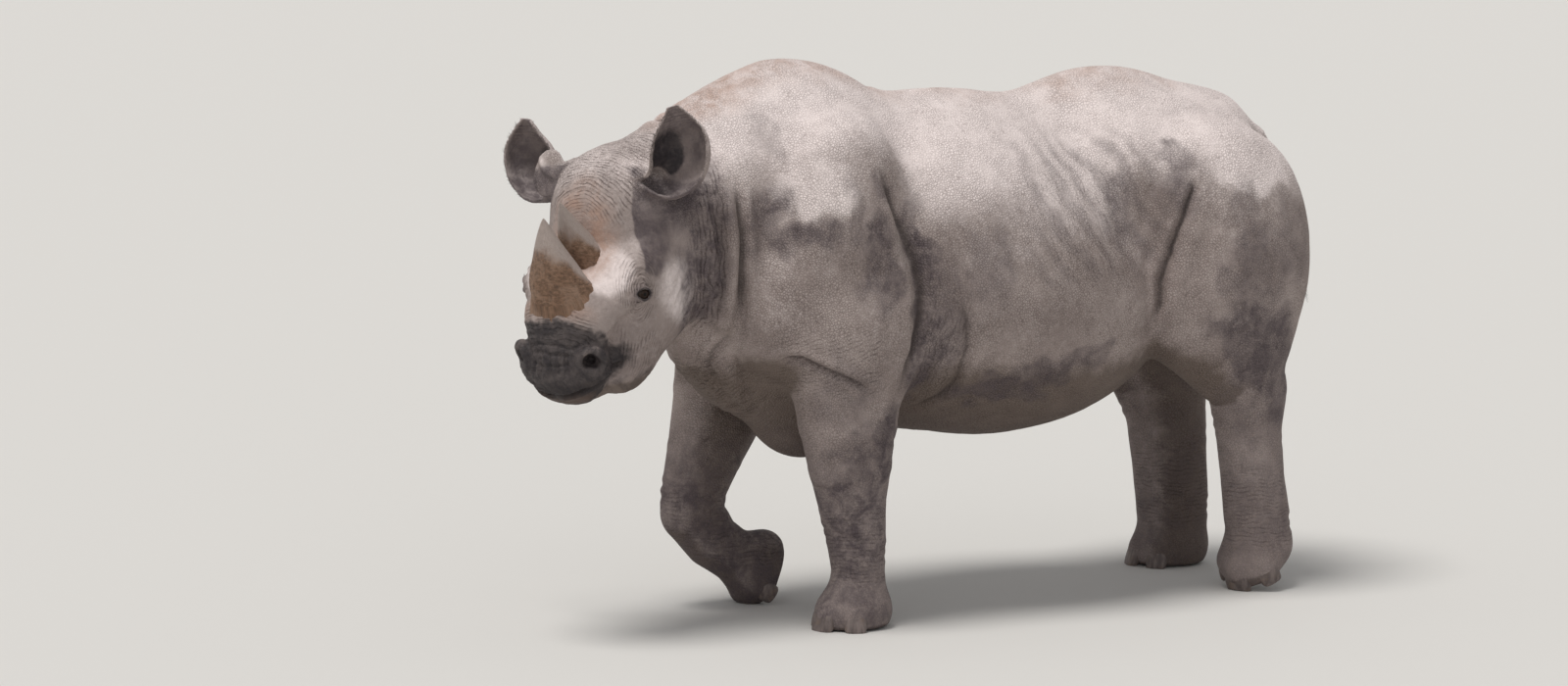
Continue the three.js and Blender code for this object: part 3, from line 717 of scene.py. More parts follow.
class Surface:
    """The skin's points with their normals. Folds are laid on it one after another; each
    moves the points along the normals of the smooth skin and notes how deep it cut, as
    painted shade for the bottom of its groove."""

    def __init__(self, points, normals):
        self.points = points
        self.normals = normals
        self.move = np.zeros(len(points))
        self.crease = np.zeros(len(points))

    def near(self, path, reach):
        low, high = path.min(axis=0) - reach, path.max(axis=0) + reach
        return np.flatnonzero(((self.points > low) & (self.points < high)).all(axis=1))

    def snapped(self, path, towards):
        """Each point of a path moved along a direction until it lies on the skin."""
        out = []
        towards = np.asarray(towards, float) / np.linalg.norm(towards)
        facing = self.normals @ towards < -0.05
        spots = self.points[facing]
        for spot in path:
            apart = spots - spot
            ahead = apart @ towards
            aside = np.linalg.norm(apart - np.outer(ahead, towards), axis=1)
            close = aside < aside.min() + 6
            out.append(spots[close][np.argmin(ahead[close])])
        return np.array(out)

    def pressed(self, spine):
        """A path moved to the nearest points of the skin."""
        spots = self.points[self.near(spine, 45)]
        if not len(spots):
            return spine
        nearest = [spots[((spots - spot) ** 2).sum(axis=1).argmin()] for spot in spine]
        spine = np.array(nearest)
        for _ in range(3):
            spine[1:-1] = (spine[:-2] + 2 * spine[1:-1] + spine[2:]) / 4
        return spine

    def fold(self, path, width, depth, shoulder=0.35, fade=0.22, wander=0.0, seed=0):
        """A groove along a path (a ridge if its depth is negative), with soft shoulders
        beside it, that fades out towards its ends."""
        length = np.linalg.norm(np.diff(path, axis=0), axis=1).sum()
        count = max(8, int(length / (width * 0.45)))
        spine = curve_through(path, count)
        if wander:
            jitter = [lattice_noise(spine, 60, seed * 3 + axis) for axis in range(3)]
            spine = spine + wander * np.stack(jitter, axis=1)
        spine = self.pressed(spine)
        along = np.linspace(0, 1, count)
        strength = steady(along, 0, fade) * steady(1 - along, 0, fade)
        reach = 3.6 * width
        chosen = self.near(spine, reach)
        for part in np.array_split(chosen, max(1, len(chosen) * count // MOST_PAIRS)):
            apart = self.points[part][:, None, :] - spine[None, :, :]
            away = np.sqrt((apart**2).sum(axis=2))
            best = away.argmin(axis=1)
            d = away[np.arange(len(part)), best] / width
            power = strength[best]
            dip = np.exp(-(d**2))
            rim = np.exp(-((d - 2.0) ** 2) / 0.7)
            self.move[part] += power * depth * (shoulder * rim - dip)
            # painted shade at the bottom of a groove, darker as the groove is deeper
            if depth > 0:
                dark = power * dip**2 * min(1, depth / 15)
                self.crease[part] = np.maximum(self.crease[part], dark)

    def swell(self, spot, size, height):
        """A soft rise (or a hollow, if its height is negative) of half sizes forward,
        left and up."""
        u = (self.points - spot) / size
        away = (u**2).sum(axis=1)
        chosen = away < 9
        self.move[chosen] += height * np.exp(-away[chosen])

    def result(self):
        return self.points + self.normals * self.move[:, None]


def beside(points, side):
    """Points (forward, up) on one flank, far out to its side."""
    return [(f, side * 700, u) for f, u in points]


def body_folds(skin):
    """The large folds of the trunk and the limbs, the same on both sides. A negative depth
    is a ridge."""
    folds = {
        "behind the shoulder": (
            [(510, 1330), (490, 1260), (430, 1090), (400, 940), (400, 820), (420, 730), (450, 600)],
            dict(width=24, depth=17, shoulder=0.2),
        ),
        "edge of the shoulder": (
            [(540, 1290), (480, 1100), (450, 950), (450, 830), (460, 750)],
            dict(width=30, depth=-9),
        ),
        "pocket behind the elbow": (
            [(300, 960), (270, 870), (250, 760), (260, 660), (300, 610), (350, 590)],
            dict(width=15, depth=11),
        ),
        "inside the pocket": (
            [(340, 900), (320, 800), (330, 710), (350, 640)],
            dict(width=30, depth=-7),
        ),
        "overhang of the upper arm": (
            [(800, 770), (760, 780), (690, 750), (630, 720), (520, 670)],
            dict(width=9, depth=13, fade=0.2, shoulder=0.6),
        ),
        "front of the haunch": (
            [(-530, 1220), (-510, 1160), (-460, 1050), (-420, 940), (-410, 870), (-410, 800)],
            dict(width=11, depth=20, fade=0.16, shoulder=0.25),
        ),
        "edge of the haunch": (
            [(-560, 1160), (-500, 1040), (-460, 950), (-450, 870), (-450, 790)],
            dict(width=22, depth=-8),
        ),
        "loose skin of the flank": (
            [(-470, 1240), (-440, 1150), (-400, 1060), (-370, 970)],
            dict(width=20, depth=-5),
        ),
        "edge of the belly": (
            [(300, 610), (200, 630), (60, 650), (-60, 700)],
            dict(width=13, depth=5, wander=8),
        ),
        "ridge of the neck": (
            [(960, 1330), (940, 1230), (930, 1110), (930, 990), (900, 820)],
            dict(width=17, depth=-17, fade=0.25),
        ),
        "behind the ridge": (
            [(910, 1300), (900, 1200), (895, 1110), (895, 980), (880, 830)],
            dict(width=15, depth=19, fade=0.25),
        ),
        "before the ridge": (
            [(980, 1310), (960, 1110), (955, 980), (920, 800)],
            dict(width=11, depth=8, fade=0.25),
        ),
        "foot of the neck": (
            [(885, 850), (910, 780), (900, 720)],
            dict(width=12, depth=9),
        ),
    }
    ribs = [
        [(150, 1180), (120, 1080), (70, 930), (20, 820)],
        [(50, 1250), (10, 1190), (-30, 1120), (-80, 960)],
        [(-60, 1270), (-110, 1200), (-160, 1090), (-190, 980)],
        [(-150, 1270), (-200, 1180), (-240, 1050), (-260, 960)],
        [(-240, 1270), (-280, 1180), (-312, 1090), (-330, 1000)],
    ]
    stretched = ("overhang of the upper arm", "ridge of the neck", "behind the ridge",
                 "before the ridge", "foot of the neck")  # on the right, as the head turns left
    for side in (1, -1):
        towards = (0, -side, 0)
        for name, (path, how) in folds.items():
            slack = 0.45 if side < 0 and name in stretched else 1.0
            how = dict(how, depth=how["depth"] * slack)
            skin.fold(skin.snapped(beside(path, side), towards), **how)
        for seed, path in enumerate(ribs):
            spine = skin.snapped(beside(path, side), towards)
            skin.fold(spine, width=27, depth=4.2, wander=16, seed=seed, fade=0.4)


def knee_folds(skin):
    """Creases round each leg at its bends."""
    bands = {
        "front_left": [(262, 3.5), (240, 4), (216, 3), (560, 2), (610, 2)],
        "front_right": [(330, 4), (300, 3.5), (560, 2), (600, 2)],
        "hind_left": [(470, 2.5), (440, 2), (222, 3), (196, 3)],
        "hind_right": [(450, 2.5), (420, 2), (205, 3), (180, 3)],
    }
    for seed, (name, rings) in enumerate(bands.items()):
        chain = np.array(LEGS[name]["chain"], float)[::-1]
        for number, (height, depth) in enumerate(rings):
            f, l, deep, wide = (np.interp(height, chain[:, 2], chain[:, i]) for i in (0, 1, 3, 4))
            turn = np.linspace(-2.6, 2.6, 15) + number
            tilt = 0.25 * deep * np.cos(turn)
            ahead, aside = f + deep * np.cos(turn), l + wide * np.sin(turn)
            ring = np.stack([ahead, aside, height + tilt], axis=1)
            skin.fold(ring, width=9, depth=depth, wander=12, fade=0.35, seed=seed * 7 + number)


def head_folds(skin):
    """The mouth, the rings round the eyes, and the wrinkles of brow, nose and cheeks."""
    def on_head(path, **how):
        skin.fold(carried(HEAD, path), **how)

    mouth = [(635, 0, -40), (630, 45, -40), (605, 90, -40), (570, 120, -55), (530, 130, -80),
             (485, 130, -110)]
    for side in (1, -1):
        on_head(on_side(mouth, side), width=6, depth=13, fade=0.1)
        _, across, up = level_axes(side, EYE_LOOK)
        centre = on_side(EYE_AT, side)
        for number, (wide, tall, depth) in enumerate(
                ((29, 26, 3), (36, 38, 3), (41, 52, 3.2), (47, 68, 3.4), (56, 84, 2.2))):
            turn = np.linspace(0.3, 6.1, 20) + number * 1.9
            shift = up * (-0.04 if number == 3 else 0.02) * tall
            oval = np.outer(np.cos(turn) * wide, across) + np.outer(np.sin(turn) * tall, up)
            on_head(centre + oval + shift, width=4.6, depth=depth, wander=4, fade=0.1, seed=number)
        for number, low in enumerate((-120, -150, -185, -220)):
            path = [(430, 140, low), (330, 172, low - 4), (230, 196, low - 2), (150, 200, low + 10)]
            on_head(on_side(path, side), width=6, depth=2, wander=10, seed=20 + number)
        round_eye = np.linalg.norm(skin.points - carried(HEAD, centre), axis=1) < LID_ROOM
        skin.move[round_eye] = np.maximum(skin.move[round_eye], -LID_DEPTH)
        jaw = [(40, 190, 20), (90, 205, -60), (110, 208, -140), (120, 200, -230), (170, 180, -300)]
        on_head(on_side(jaw, side), width=26, depth=-6)
    for number, reach in enumerate(range(110, 220, 16)):
        turn = np.radians(np.linspace(-66, 66, 15))
        arc = np.stack([205 - reach * np.cos(turn), reach * 0.95 * np.sin(turn),
                        60 + 60 * np.cos(turn)], axis=1)
        on_head(arc, width=5, depth=1.8, wander=6, seed=30 + number)
    for number, along in enumerate((484, 497, 510)):
        path = [(along - 26, -116, 0), (along - 8, -84, 60), (along, 0, 100), (along - 8, 84, 60),
                (along - 26, 116, 0)]
        on_head(path, width=6, depth=3 - number * 0.5, wander=4, seed=40 + number)
    for number, across in enumerate((-44, -24, 0, 22, 45)):
        path = [(530, across, 60), (570, across * 1.1, 30), (600, across * 1.2, 0)]
        on_head(path, width=6, depth=4.5, wander=8, seed=50 + number)
    for number, along in enumerate((532, 552, 574)):
        path = [(along - 6, -70, 30), (along, -30, 62 - 16 * number), (along, 30, 62 - 16 * number),
                (along - 6, 70, 30)]
        on_head(path, width=5, depth=3.5, wander=6, seed=56 + number)


def neck_folds(skin):
    """Close wrinkles down the neck behind the jaw, and loose folds under the throat."""
    front = [(1048, 1180), (1040, 1080), (1015, 980), (985, 880)]
    rear = [(972, 1250), (958, 1110), (958, 990), (945, 880)]
    for side in (1, -1):
        for number in range(5):
            share = (number + 0.5) / 5
            path = [
                (a[0] + (b[0] - a[0]) * share, a[1] + (b[1] - a[1]) * share)
                for a, b in zip(front, rear)
            ]
            spine = skin.snapped(beside(path, side), (0, -side, 0))
            skin.fold(spine, width=7, depth=2.6, wander=9, fade=0.4, seed=60 + number)
        for seed, path in enumerate((
            [(960, side * 100, 800), (900, side * 100, 742), (820, side * 70, 660),
             (760, side * 70, 600)],
            [(900, side * 190, 800), (860, side * 180, 730), (800, side * 140, 660),
             (740, side * 90, 600)],
        )):
            skin.fold(path, width=15, depth=6, wander=6, seed=90 + seed)
    for number, back in enumerate(range(0, 200, 34)):
        path = [(900 - back, -150, 790 - back * 0.55), (905 - back, 0, 730 - back * 0.6),
                (900 - back, 150, 790 - back * 0.55)]
        skin.fold(path, width=10, depth=3.5, wander=14, seed=70 + number)
    for number, (high, depth) in enumerate(((0, 13), (36, 5), (66, 3))):
        path = [(1022 - high, -150, 1370), (1010 - high, -60, 1432), (1010 - high, 60, 1436),
                (1018 - high, 160, 1370)]
        skin.fold(path, width=14, depth=depth, seed=80 + number)


def muscles(skin):
    """Soft rises over bone and muscle, and the hollows between them."""
    both_sides = {
        "shoulder blade": ((560, 330, 1120), (120, 120, 170), 10),
        "spine of the blade": ((505, 380, 1080), (34, 80, 180), 8),
        "upper arm": ((560, 400, 860), (120, 90, 110), 12),
        "elbow": ((480, 380, 640), (50, 60, 60), 6),
        "forearm": ((600, 360, 560), (70, 60, 100), 5),
        "hollow before the blade": ((790, 300, 1150), (60, 120, 170), -8),
        "point of the hip": ((-400, 300, 1260), (70, 80, 60), 12),
        "hollow of the flank": ((-330, 380, 1080), (90, 120, 120), -9),
        "haunch": ((-640, 420, 950), (130, 90, 190), 10),
        "stifle": ((-500, 360, 760), (60, 80, 80), 8),
        "seat": ((-850, 250, 1050), (60, 90, 110), 6),
        "hock": ((-880, 260, 560), (40, 60, 60), 9),
        "calf": ((-800, 340, 640), (70, 60, 110), 6),
    }
    for spot, size, height in both_sides.values():
        for side in (1, -1):
            skin.swell(on_side(spot, side), np.array(size), height)
    on_face = {
        "cheekbone": ((235, 180, -60), (60, 40, 34), 6),
        "hollow under the eye": ((370, 150, -60), (46, 40, 34), -6),
        "jaw muscle": ((190, 190, -160), (80, 40, 70), 7),
        "temple": ((150, 150, 60), (70, 40, 50), -6),
        "lower lip": ((600, 60, -78), (30, 40, 18), 4),
    }
    for spot, size, height in on_face.values():
        for side in (1, -1):
            skin.swell(carried(HEAD, on_side(spot, side)), max(size[:2]), height)


def creases(skin):
    """Shallow unevenness all over: soft lumps, and fine wrinkles on the face and neck."""
    p = skin.points
    head = steady(p[:, 0], 880, 1010)
    skin.move += 2.2 * layered_noise(p, 150, 3)
    skin.move += (0.9 + 0.5 * head) * layered_noise(p * (1, 1, 0.6), 34, 5)
    ridged = 1 - np.abs(layered_noise(p, 17, 9, layers=2)) * 2
    skin.move -= 1.3 * head * steady(ridged, 0.5, 1.0)


# ---------------------------------------------------------------- markings on the hide
def patch(points, spot, size, strength, both_sides=True):
    """How strongly a soft-edged patch covers each point."""
    cover = np.zeros(len(points))
    for side in (1, -1) if both_sides else (1,):
        away = np.sqrt((((points - on_side(spot, side)) / size) ** 2).sum(axis=1))
        cover = np.maximum(cover, steady(1.35 - away, 0, 0.7))
    return strength * cover


# Dark spots: their middle, their half sizes and their strength. Soft ones are mottled.
SOFT_SPOTS = (
    ((800, 200, 1400), (50, 110, 60), 0.35),  # before the shoulder
    ((815, 290, 1165), (62, 120, 95), 0.7),
    ((715, 360, 1100), (78, 120, 50), 0.75),  # shoulder
    ((610, 390, 1180), (34, 120, 110), 0.45),
    ((535, 402, 1050), (46, 120, 130), 0.85),
    ((500, 390, 1240), (34, 120, 60), 0.6),
    ((620, 370, 690), (90, 120, 90), 0.4),
    ((395, 410, 960), (46, 150, 290), 1.0),  # behind the shoulder
    ((320, 420, 850), (60, 150, 200), 0.6),
    ((210, 430, 1010), (60, 150, 120), 0.4),
    ((-300, 330, 1140), (60, 120, 90), 0.6),  # loin
    ((-490, 300, 1285), (85, 130, 60), 0.75),  # hip
    ((-470, 330, 1190), (44, 120, 90), 0.7),
    ((-670, 410, 1110), (60, 120, 90), 0.35),  # haunch
    ((-725, 420, 960), (90, 140, 95), 0.65),
    ((-620, 428, 900), (56, 120, 56), 0.6),
    ((-850, 330, 1040), (50, 160, 160), 0.4),
    ((560, 360, 400), (100, 160, 190), 1.0),
    ((-800, 330, 560), (160, 160, 200), 0.5),
)
STAINS = (
    ((-665, 430, 790), (135, 220, 80), 0.85),  # thigh
    ((-760, 430, 740), (110, 220, 120), 0.85),
    ((-130, 420, 735), (120, 200, 50), 0.65),  # low on the flank
    ((-20, 420, 695), (120, 200, 46), 0.75),
    ((110, 380, 640), (140, 260, 44), 0.8),
    ((345, 420, 700), (34, 200, 120), 0.8),  # behind the elbow
    ((468, 380, 560), (52, 180, 95), 0.9),  # elbow
    ((-845, 330, 600), (50, 200, 130), 0.7),
)
FACE_SPOTS = (
    ((60, 165, 40), (50, 50, 70), 0.7),
    ((500, 100, -120), (80, 70, 34), 0.35),
)


def markings(skin):
    """The share of each tint at each point of the skin."""
    p = skin.points
    up = p[:, 2]
    local = carried(np.linalg.inv(HEAD), p)
    on_head = steady(p[:, 0], 980, 1060)
    blur = layered_noise(p, 120, 21)
    fine = layered_noise(p, 38, 22)
    astray = np.stack([layered_noise(p, 170, 31 + axis) for axis in range(3)], axis=1)
    torn = np.stack([layered_noise(p, 48, 41 + axis) for axis in range(3)], axis=1)
    moved = p + 75 * astray + 30 * torn

    # dark and mottled: patches and the side of the neck, and painted shade in streaks between the
    # ribs
    dark, stain = np.zeros(len(p)), np.zeros(len(p))
    for spot, size, strength in SOFT_SPOTS:
        dark = np.maximum(dark, patch(moved, spot, size, strength))
    for spot, size, strength in STAINS:
        stain = np.maximum(stain, patch(moved, spot, size, strength))
    neck = patch(p + 20 * torn, (1000, 240, 1070), (70, 150, 300), 1.0)
    # painted shade in slanting streaks between the ribs
    wave = (0.86 * p[:, 0] - 0.5 * up) / 72 + 0.7 * layered_noise(p, 150, 51)
    ribs = steady(np.sin(2 * math.pi * wave), -0.9, 0.9) * steady(p[:, 0], -520, -380)
    ribs = ribs * steady(-p[:, 0], -120, 40) * steady(up, 900, 1020) * steady(-up, -1390, -1280)
    dark = np.maximum.reduce([dark, neck, 0.42 * ribs])
    for spot, size, strength in FACE_SPOTS:
        stain = np.maximum(stain, on_head * patch(local + 14 * torn, spot, size, strength))
    # the band on the temple, between the brow's edge and the cheek
    x, y, z = (local + 7 * torn).T
    edge = np.interp(x, (20, 110, 190, 270), (110, 90, 35, 10))
    reach = np.interp(x, (20, 150, 270), (210, 130, 60))
    temple = steady(edge - z, -5, 7) * steady((z - edge) / reach, -1.2, -0.6)
    temple = temple * steady(-x, -285, -250) * steady(x, -20, 20) * steady(np.abs(y), 60, 85)
    stain = np.maximum(stain, on_head * temple)
    ears, inside, hollow = ear_shares(p)
    # painted shade inside the ear's scoop
    dark = np.maximum(dark, 0.75 * inside)
    legs = steady(-up, -680, -250) * (0.55 + 0.4 * steady(p[:, 0], 0, 200))
    dark = np.maximum(dark, legs)
    # painted shade round the lids, deepest at their edges
    lid_shade = np.zeros(len(p))
    for side in (1, -1):
        out, across, rise = level_axes(side, EYE_LOOK)
        away = local - on_side(EYE_AT, side)
        lids = np.sqrt((away @ across) ** 2 + (1.15 * away @ rise) ** 2 + (0.4 * away @ out) ** 2)
        dark = np.maximum(dark, 0.85 * on_head * steady(-lids, -44, -24))
        lid_shade = np.maximum(lid_shade, on_head * steady(-lids, -29, -22))

    # red dust: along the spine, on the nape, and on the face round the horns
    ridge = steady(up, 1400, 1540) * steady(-np.abs(p[:, 1]), -190, -60)
    nape = patch(p, (900, 20, 1480), (240, 110, 90), 0.8, both_sides=False)
    forehead = on_head * patch(local, (165, 0, 110), (110, 84, 70), 0.75, both_sides=False)
    boss = on_head * patch(local, (250, 0, 70), (120, 105, 60), 0.85, both_sides=False)
    nose = on_head * patch(local, (440, 0, 70), (40, 120, 70), 0.6, both_sides=False)
    dust = np.maximum.reduce([0.55 * ridge, 0.75 * nape, 0.9 * forehead, boss, 0.9 * nose])
    dust = np.clip(dust + 0.3 * blur * (dust > 0.02), 0, 1)

    # the muzzle, dark to above the nostrils and paler under the chin
    charcoal = on_head * steady(local[:, 0] + 26 * fine - 0.16 * local[:, 2], 418, 500)
    charcoal = charcoal * (1 - 0.6 * steady(-local[:, 2], 60, 130))
    # painted shade below: on the belly where the skin faces down, and on the inside of the legs
    belly = steady(-skin.normals[:, 2], 0.1, 0.8) * steady(-up, -1000, -700)
    inner_leg_shade = steady(-up + 70 * astray[:, 0], -840, -560) * steady(-np.abs(p[:, 1]), -235, -150)
    belly = np.maximum(belly, 0.8 * inner_leg_shade)
    # pale dried mud in patches, and painted light wherever the skin faces up
    pale = steady(skin.normals[:, 2], 0.0, 0.8) * steady(up, 880, 1230) * (1 - 0.55 * on_head)
    # on the cheek: pale mud and a painted highlight
    cheek = on_head * patch(local + 8 * torn, (240, 200, -165), (80, 60, 120), 0.55)
    brow = on_head * patch(local + 8 * torn, (300, 90, 60), (80, 90, 50), 0.75)
    rump = patch(p + 30 * torn, (-740, 380, 1240), (150, 130, 80), 0.85)
    blade = patch(p + 30 * torn, (690, 340, 1260), (120, 120, 100), 0.7)
    pale = np.maximum.reduce([pale, cheek, brow, rump, blade])
    # a painted highlight on the rim of each nostril's hood, lifting the dark muzzle there
    nostril_highlight = on_head * patch(local, np.array(NOSTRIL_AT) + (-18, 12, 28), (36, 26, 20), 0.9)
    charcoal = charcoal * (1 - 0.4 * nostril_highlight)
    pink = on_head * patch(local, (612, 30, -70), (36, 60, 26), 0.7)
    # the pebbles, plain on the body and faint on face, neck, ears and lower legs
    face = on_head * steady(local[:, 0], 40, 120)
    collar = steady(p[:, 0], 925, 965) * (1 - on_head)
    pebbles = 1 - 0.85 * face - 0.4 * collar
    pebbles = pebbles * (1 - 0.9 * ears) * (1 - 0.45 * steady(-up, -560, -300))
    line, lined = wrinkle_lines(p, local, on_head)
    return {
        # dark patches, with painted shade between the ribs, inside the ears and round the lids
        "dark": np.clip(dark * (1 + 0.35 * blur) + 0.1 * fine, 0, 1),
        "stain": np.clip(stain, 0, 1),
        "dust": dust,
        # the muzzle's own dark, with painted shade at the edges of the lids and in the ears'
        # hollows
        "charcoal": np.maximum.reduce([charcoal, 0.7 * lid_shade, hollow]),
        # painted shade on the underside and the inside of the legs
        "belly": belly,
        # pale dried mud, with painted light on up-facing skin and the cheek
        "pale": np.clip(pale + 0.22 * blur * (up > 800), 0, 1),
        "pink": pink,
        # painted shade at the bottom of the folds
        "crease": np.clip(skin.crease, 0, 1),
        "pebbles": np.clip(pebbles, 0, 1),
        "line": line,
        "lined": lined * (1 - 0.8 * ears),
    }


def ear_shares(points):
    """Where the skin is an ear, the inside of the scoop, and the hollow of that inside,
    which lies towards the head. The inside and its hollow carry painted shade."""
    on, inside, hollow = np.zeros((3, len(points)))
    count = 48
    for ear in EARS.values():
        centre, up, back, across, radius, arc, _ = ear_rings(ear, count)
        low, high = centre.min(axis=0) - EAR_ROOM, centre.max(axis=0) + EAR_ROOM
        near = np.flatnonzero(((points > low) & (points < high)).all(axis=1))
        apart = points[near][:, None, :] - centre[None]
        h, b, s = ((apart * axis).sum(axis=2) for axis in (up, back, across))
        turn = np.clip(np.arctan2(s, b), -arc, arc)
        off = np.sqrt((b - radius * np.cos(turn)) ** 2 + (s - radius * np.sin(turn)) ** 2 + h * h)
        best, rows = off.argmin(axis=1), np.arange(len(near))
        height = best / (count - 1)
        share = steady(height, 0.14, 0.26) * steady(-off[rows, best], -26, -14)
        deep = radius[best] - np.hypot(b, s)[rows, best]
        rim = steady(np.abs(turn[rows, best]) / arc[best], 0.86, 0.97)
        on[near] = np.maximum(on[near], share)
        within = share * steady(deep, -3, 3) * (1 - 0.7 * rim)
        inside[near] = np.maximum(inside[near], within)
        inward = -np.sign(ear["root"][1]) * turn[rows, best]
        low_down = steady(1.0 - height, 0, 0.35)
        hollow[near] = np.maximum(hollow[near], within * low_down * steady(inward, -0.3, 0.35))
    return on, inside, hollow


def wrinkle_lines(p, local, on_head):
    """Fine wrinkles: a count of lines across each region, and how plainly they show."""
    x, y, z = local.T
    f, side, up = p[:, 0], np.abs(p[:, 1]), p[:, 2]
    fields = [
        # brow: arcs about the rear horn
        (np.sqrt((x - 205) ** 2 + (0.9 * y) ** 2) / 10,
         on_head * steady(-x, -190, -130) * steady(-np.abs(y), -165, -120) * steady(z, -30, 20)),
        # across the nose, and down beside it
        (x / 11, on_head * steady(x, 425, 460) * steady(-x, -560, -500)
         * steady(-np.abs(y), -130, -95)),
        ((z + 0.45 * x) / 9, 0.75 * on_head * steady(x, 360, 400) * steady(-x, -520, -470)
         * steady(np.abs(y), 95, 120) * steady(-z, -30, 0)),
        # down the side of the neck
        ((f - 0.1 * up) / 11, steady(f, 925, 950) * steady(-f, -1075, -1030) * steady(side, 90, 130)
         * (1 - 0.7 * on_head)),
        # over the foreleg, and down behind it
        ((up + 0.35 * f) / 13, 0.55 * steady(f, 500, 560) * steady(-f, -860, -760)
         * steady(up, 640, 720) * steady(-up, -900, -820)),
        ((f + 0.15 * up) / 15, 0.6 * steady(f, 225, 260) * steady(-f, -400, -370)
         * steady(up, 600, 700) * steady(-up, -1000, -850)),
        # down and back over the ribs
        ((0.92 * f - 0.38 * up) / 17, 0.45 * steady(f, -420, -250) * steady(-f, -130, 60)
         * steady(up, 880, 980) * steady(-up, -1300, -1220)),
        # round the lower legs
        (up / 12, 0.55 * steady(-up, -420, -300) * steady(up, 90, 150)),
        # throat
        ((0.7 * up + 0.7 * f) / 14, 0.6 * steady(f, 700, 760) * steady(-up, -800, -740)
         * steady(-side, -210, -150)),
    ]
    for at_side in (1, -1):
        out, across, rise = level_axes(at_side, EYE_LOOK)
        away = local - on_side(EYE_AT, at_side)
        ring = np.sqrt((1.5 * away @ across) ** 2 + (0.9 * away @ rise) ** 2)
        near = steady(-ring, -130, -70) * steady(-np.abs(away @ out), -70, -40) * on_head
        fields.append((ring / 8.5, 0.9 * near))
    line, lined, second = np.zeros(len(p)), np.zeros(len(p)), np.zeros(len(p))
    for count, shown in fields:
        wins = shown > lined
        second = np.where(wins, lined, np.maximum(second, shown))
        line = np.where(wins, count, line)
        lined = np.where(wins, shown, lined)
    return line, np.clip(lined - 1.2 * second, 0, 1)


def note_on(mesh, shares):
    """Keeps a number for each point of a mesh, for its material to read."""
    for name, values in shares.items():
        layer = mesh.attributes.new(name, "FLOAT", "POINT")
        layer.data.foreach_set("value", np.asarray(values, np.float32))


# ---------------------------------------------------------------- materials
class Shader:
    """A short way to write a material's nodes."""

    def __init__(self, name):
        self.material = bpy.data.materials.new(name)
        self.material.use_nodes = True
        self.tree = self.material.node_tree
        self.out = self.tree.nodes["Principled BSDF"]
        self.space = self.node("ShaderNodeTexCoord").outputs["Object"]

    def node(self, kind, **settings):
        made = self.tree.nodes.new(kind)
        for key, value in settings.items():
            setattr(made, key, value)
        return made

    def plug(self, socket, value):
        if isinstance(value, bpy.types.NodeSocket):
            self.tree.links.new(value, socket)
        elif isinstance(value, (tuple, list)) and len(value) == 3 and socket.type == "RGBA":
            socket.default_value = (*value, 1)
        else:
            socket.default_value = value

    def shared(self, name):
        return self.node("ShaderNodeAttribute", attribute_name=name).outputs["Fac"]

    def maths(self, operation, *values, clamp=False):
        made = self.node("ShaderNodeMath", operation=operation, use_clamp=clamp)
        for socket, value in zip(made.inputs, values):
            self.plug(socket, value)
        return made.outputs[0]

    def noise(self, scale, detail=3.0, roughness=0.55, space=None, distortion=0.0):
        made = self.node("ShaderNodeTexNoise")
        self.plug(made.inputs["Vector"], space or self.space)
        for key, value in (("Scale", scale), ("Detail", detail), ("Roughness", roughness),
                           ("Distortion", distortion)):
            made.inputs[key].default_value = value
        return made.outputs["Fac"]

    def cells(self, scale, feature="F1", space=None, randomness=1.0):
        made = self.node("ShaderNodeTexVoronoi", feature=feature)
        self.plug(made.inputs["Vector"], space or self.space)
        made.inputs["Scale"].default_value = scale
        made.inputs["Randomness"].default_value = randomness
        return made.outputs["Distance"]

    def span(self, value, low, high, start=0.0, end=1.0):
        made = self.node("ShaderNodeMapRange", interpolation_type="SMOOTHSTEP")
        for socket, given in zip(made.inputs, (value, low, high, start, end)):
            self.plug(socket, given)
        return made.outputs["Result"]

    def mix(self, share, below, above, blend="MIX"):
        made = self.node("ShaderNodeMix", data_type="RGBA", blend_type=blend)
        for key, value in ((0, share), (6, below), (7, above)):
            self.plug(made.inputs[key], value)
        return made.outputs[2]

    def blend(self, share, one, other):
        """A number between two others."""
        return self.maths("ADD", self.maths("MULTIPLY", one, 1 - share),
                          self.maths("MULTIPLY", other, share))

    def warped(self, scale, strength):
        """The surface's own coordinates, pushed about by noise."""
        push = self.node("ShaderNodeTexNoise")
        self.plug(push.inputs["Vector"], self.space)
        push.inputs["Scale"].default_value = scale
        made = self.node("ShaderNodeMix", data_type="VECTOR")
        made.inputs[0].default_value = strength
        self.plug(made.inputs[4], self.space)
        self.plug(made.inputs[5], push.outputs["Color"])
        return made.outputs[1]

    def stretched(self, space, scale):
        made = self.node("ShaderNodeVectorMath", operation="MULTIPLY")
        self.plug(made.inputs[0], space)
        made.inputs[1].default_value = scale
        return made.outputs[0]

    def bump(self, height, distance, strength=1.0, under=None):
        made = self.node("ShaderNodeBump")
        made.inputs["Strength"].default_value = strength
        made.inputs["Distance"].default_value = distance
        self.plug(made.inputs["Height"], height)
        if under is not None:
            self.plug(made.inputs["Normal"], under)
        return made.outputs["Normal"]

    def finish(self, **sockets):
        for key, value in sockets.items():
            self.plug(self.out.inputs[key.replace("_", " ")], value)
        return self.material


# The coordinates are metres, so a noise's scale is the number of its features in a metre.
def patchy(shader, name, noise, spread=0.5, low=0.3, high=0.78):
    """A marking's share, with its edge broken up by noise."""
    pushed = shader.maths("ADD", shader.shared(name), shader.maths(
        "MULTIPLY", shader.maths("SUBTRACT", noise, 0.5), spread))
    return shader.span(pushed, low, high)


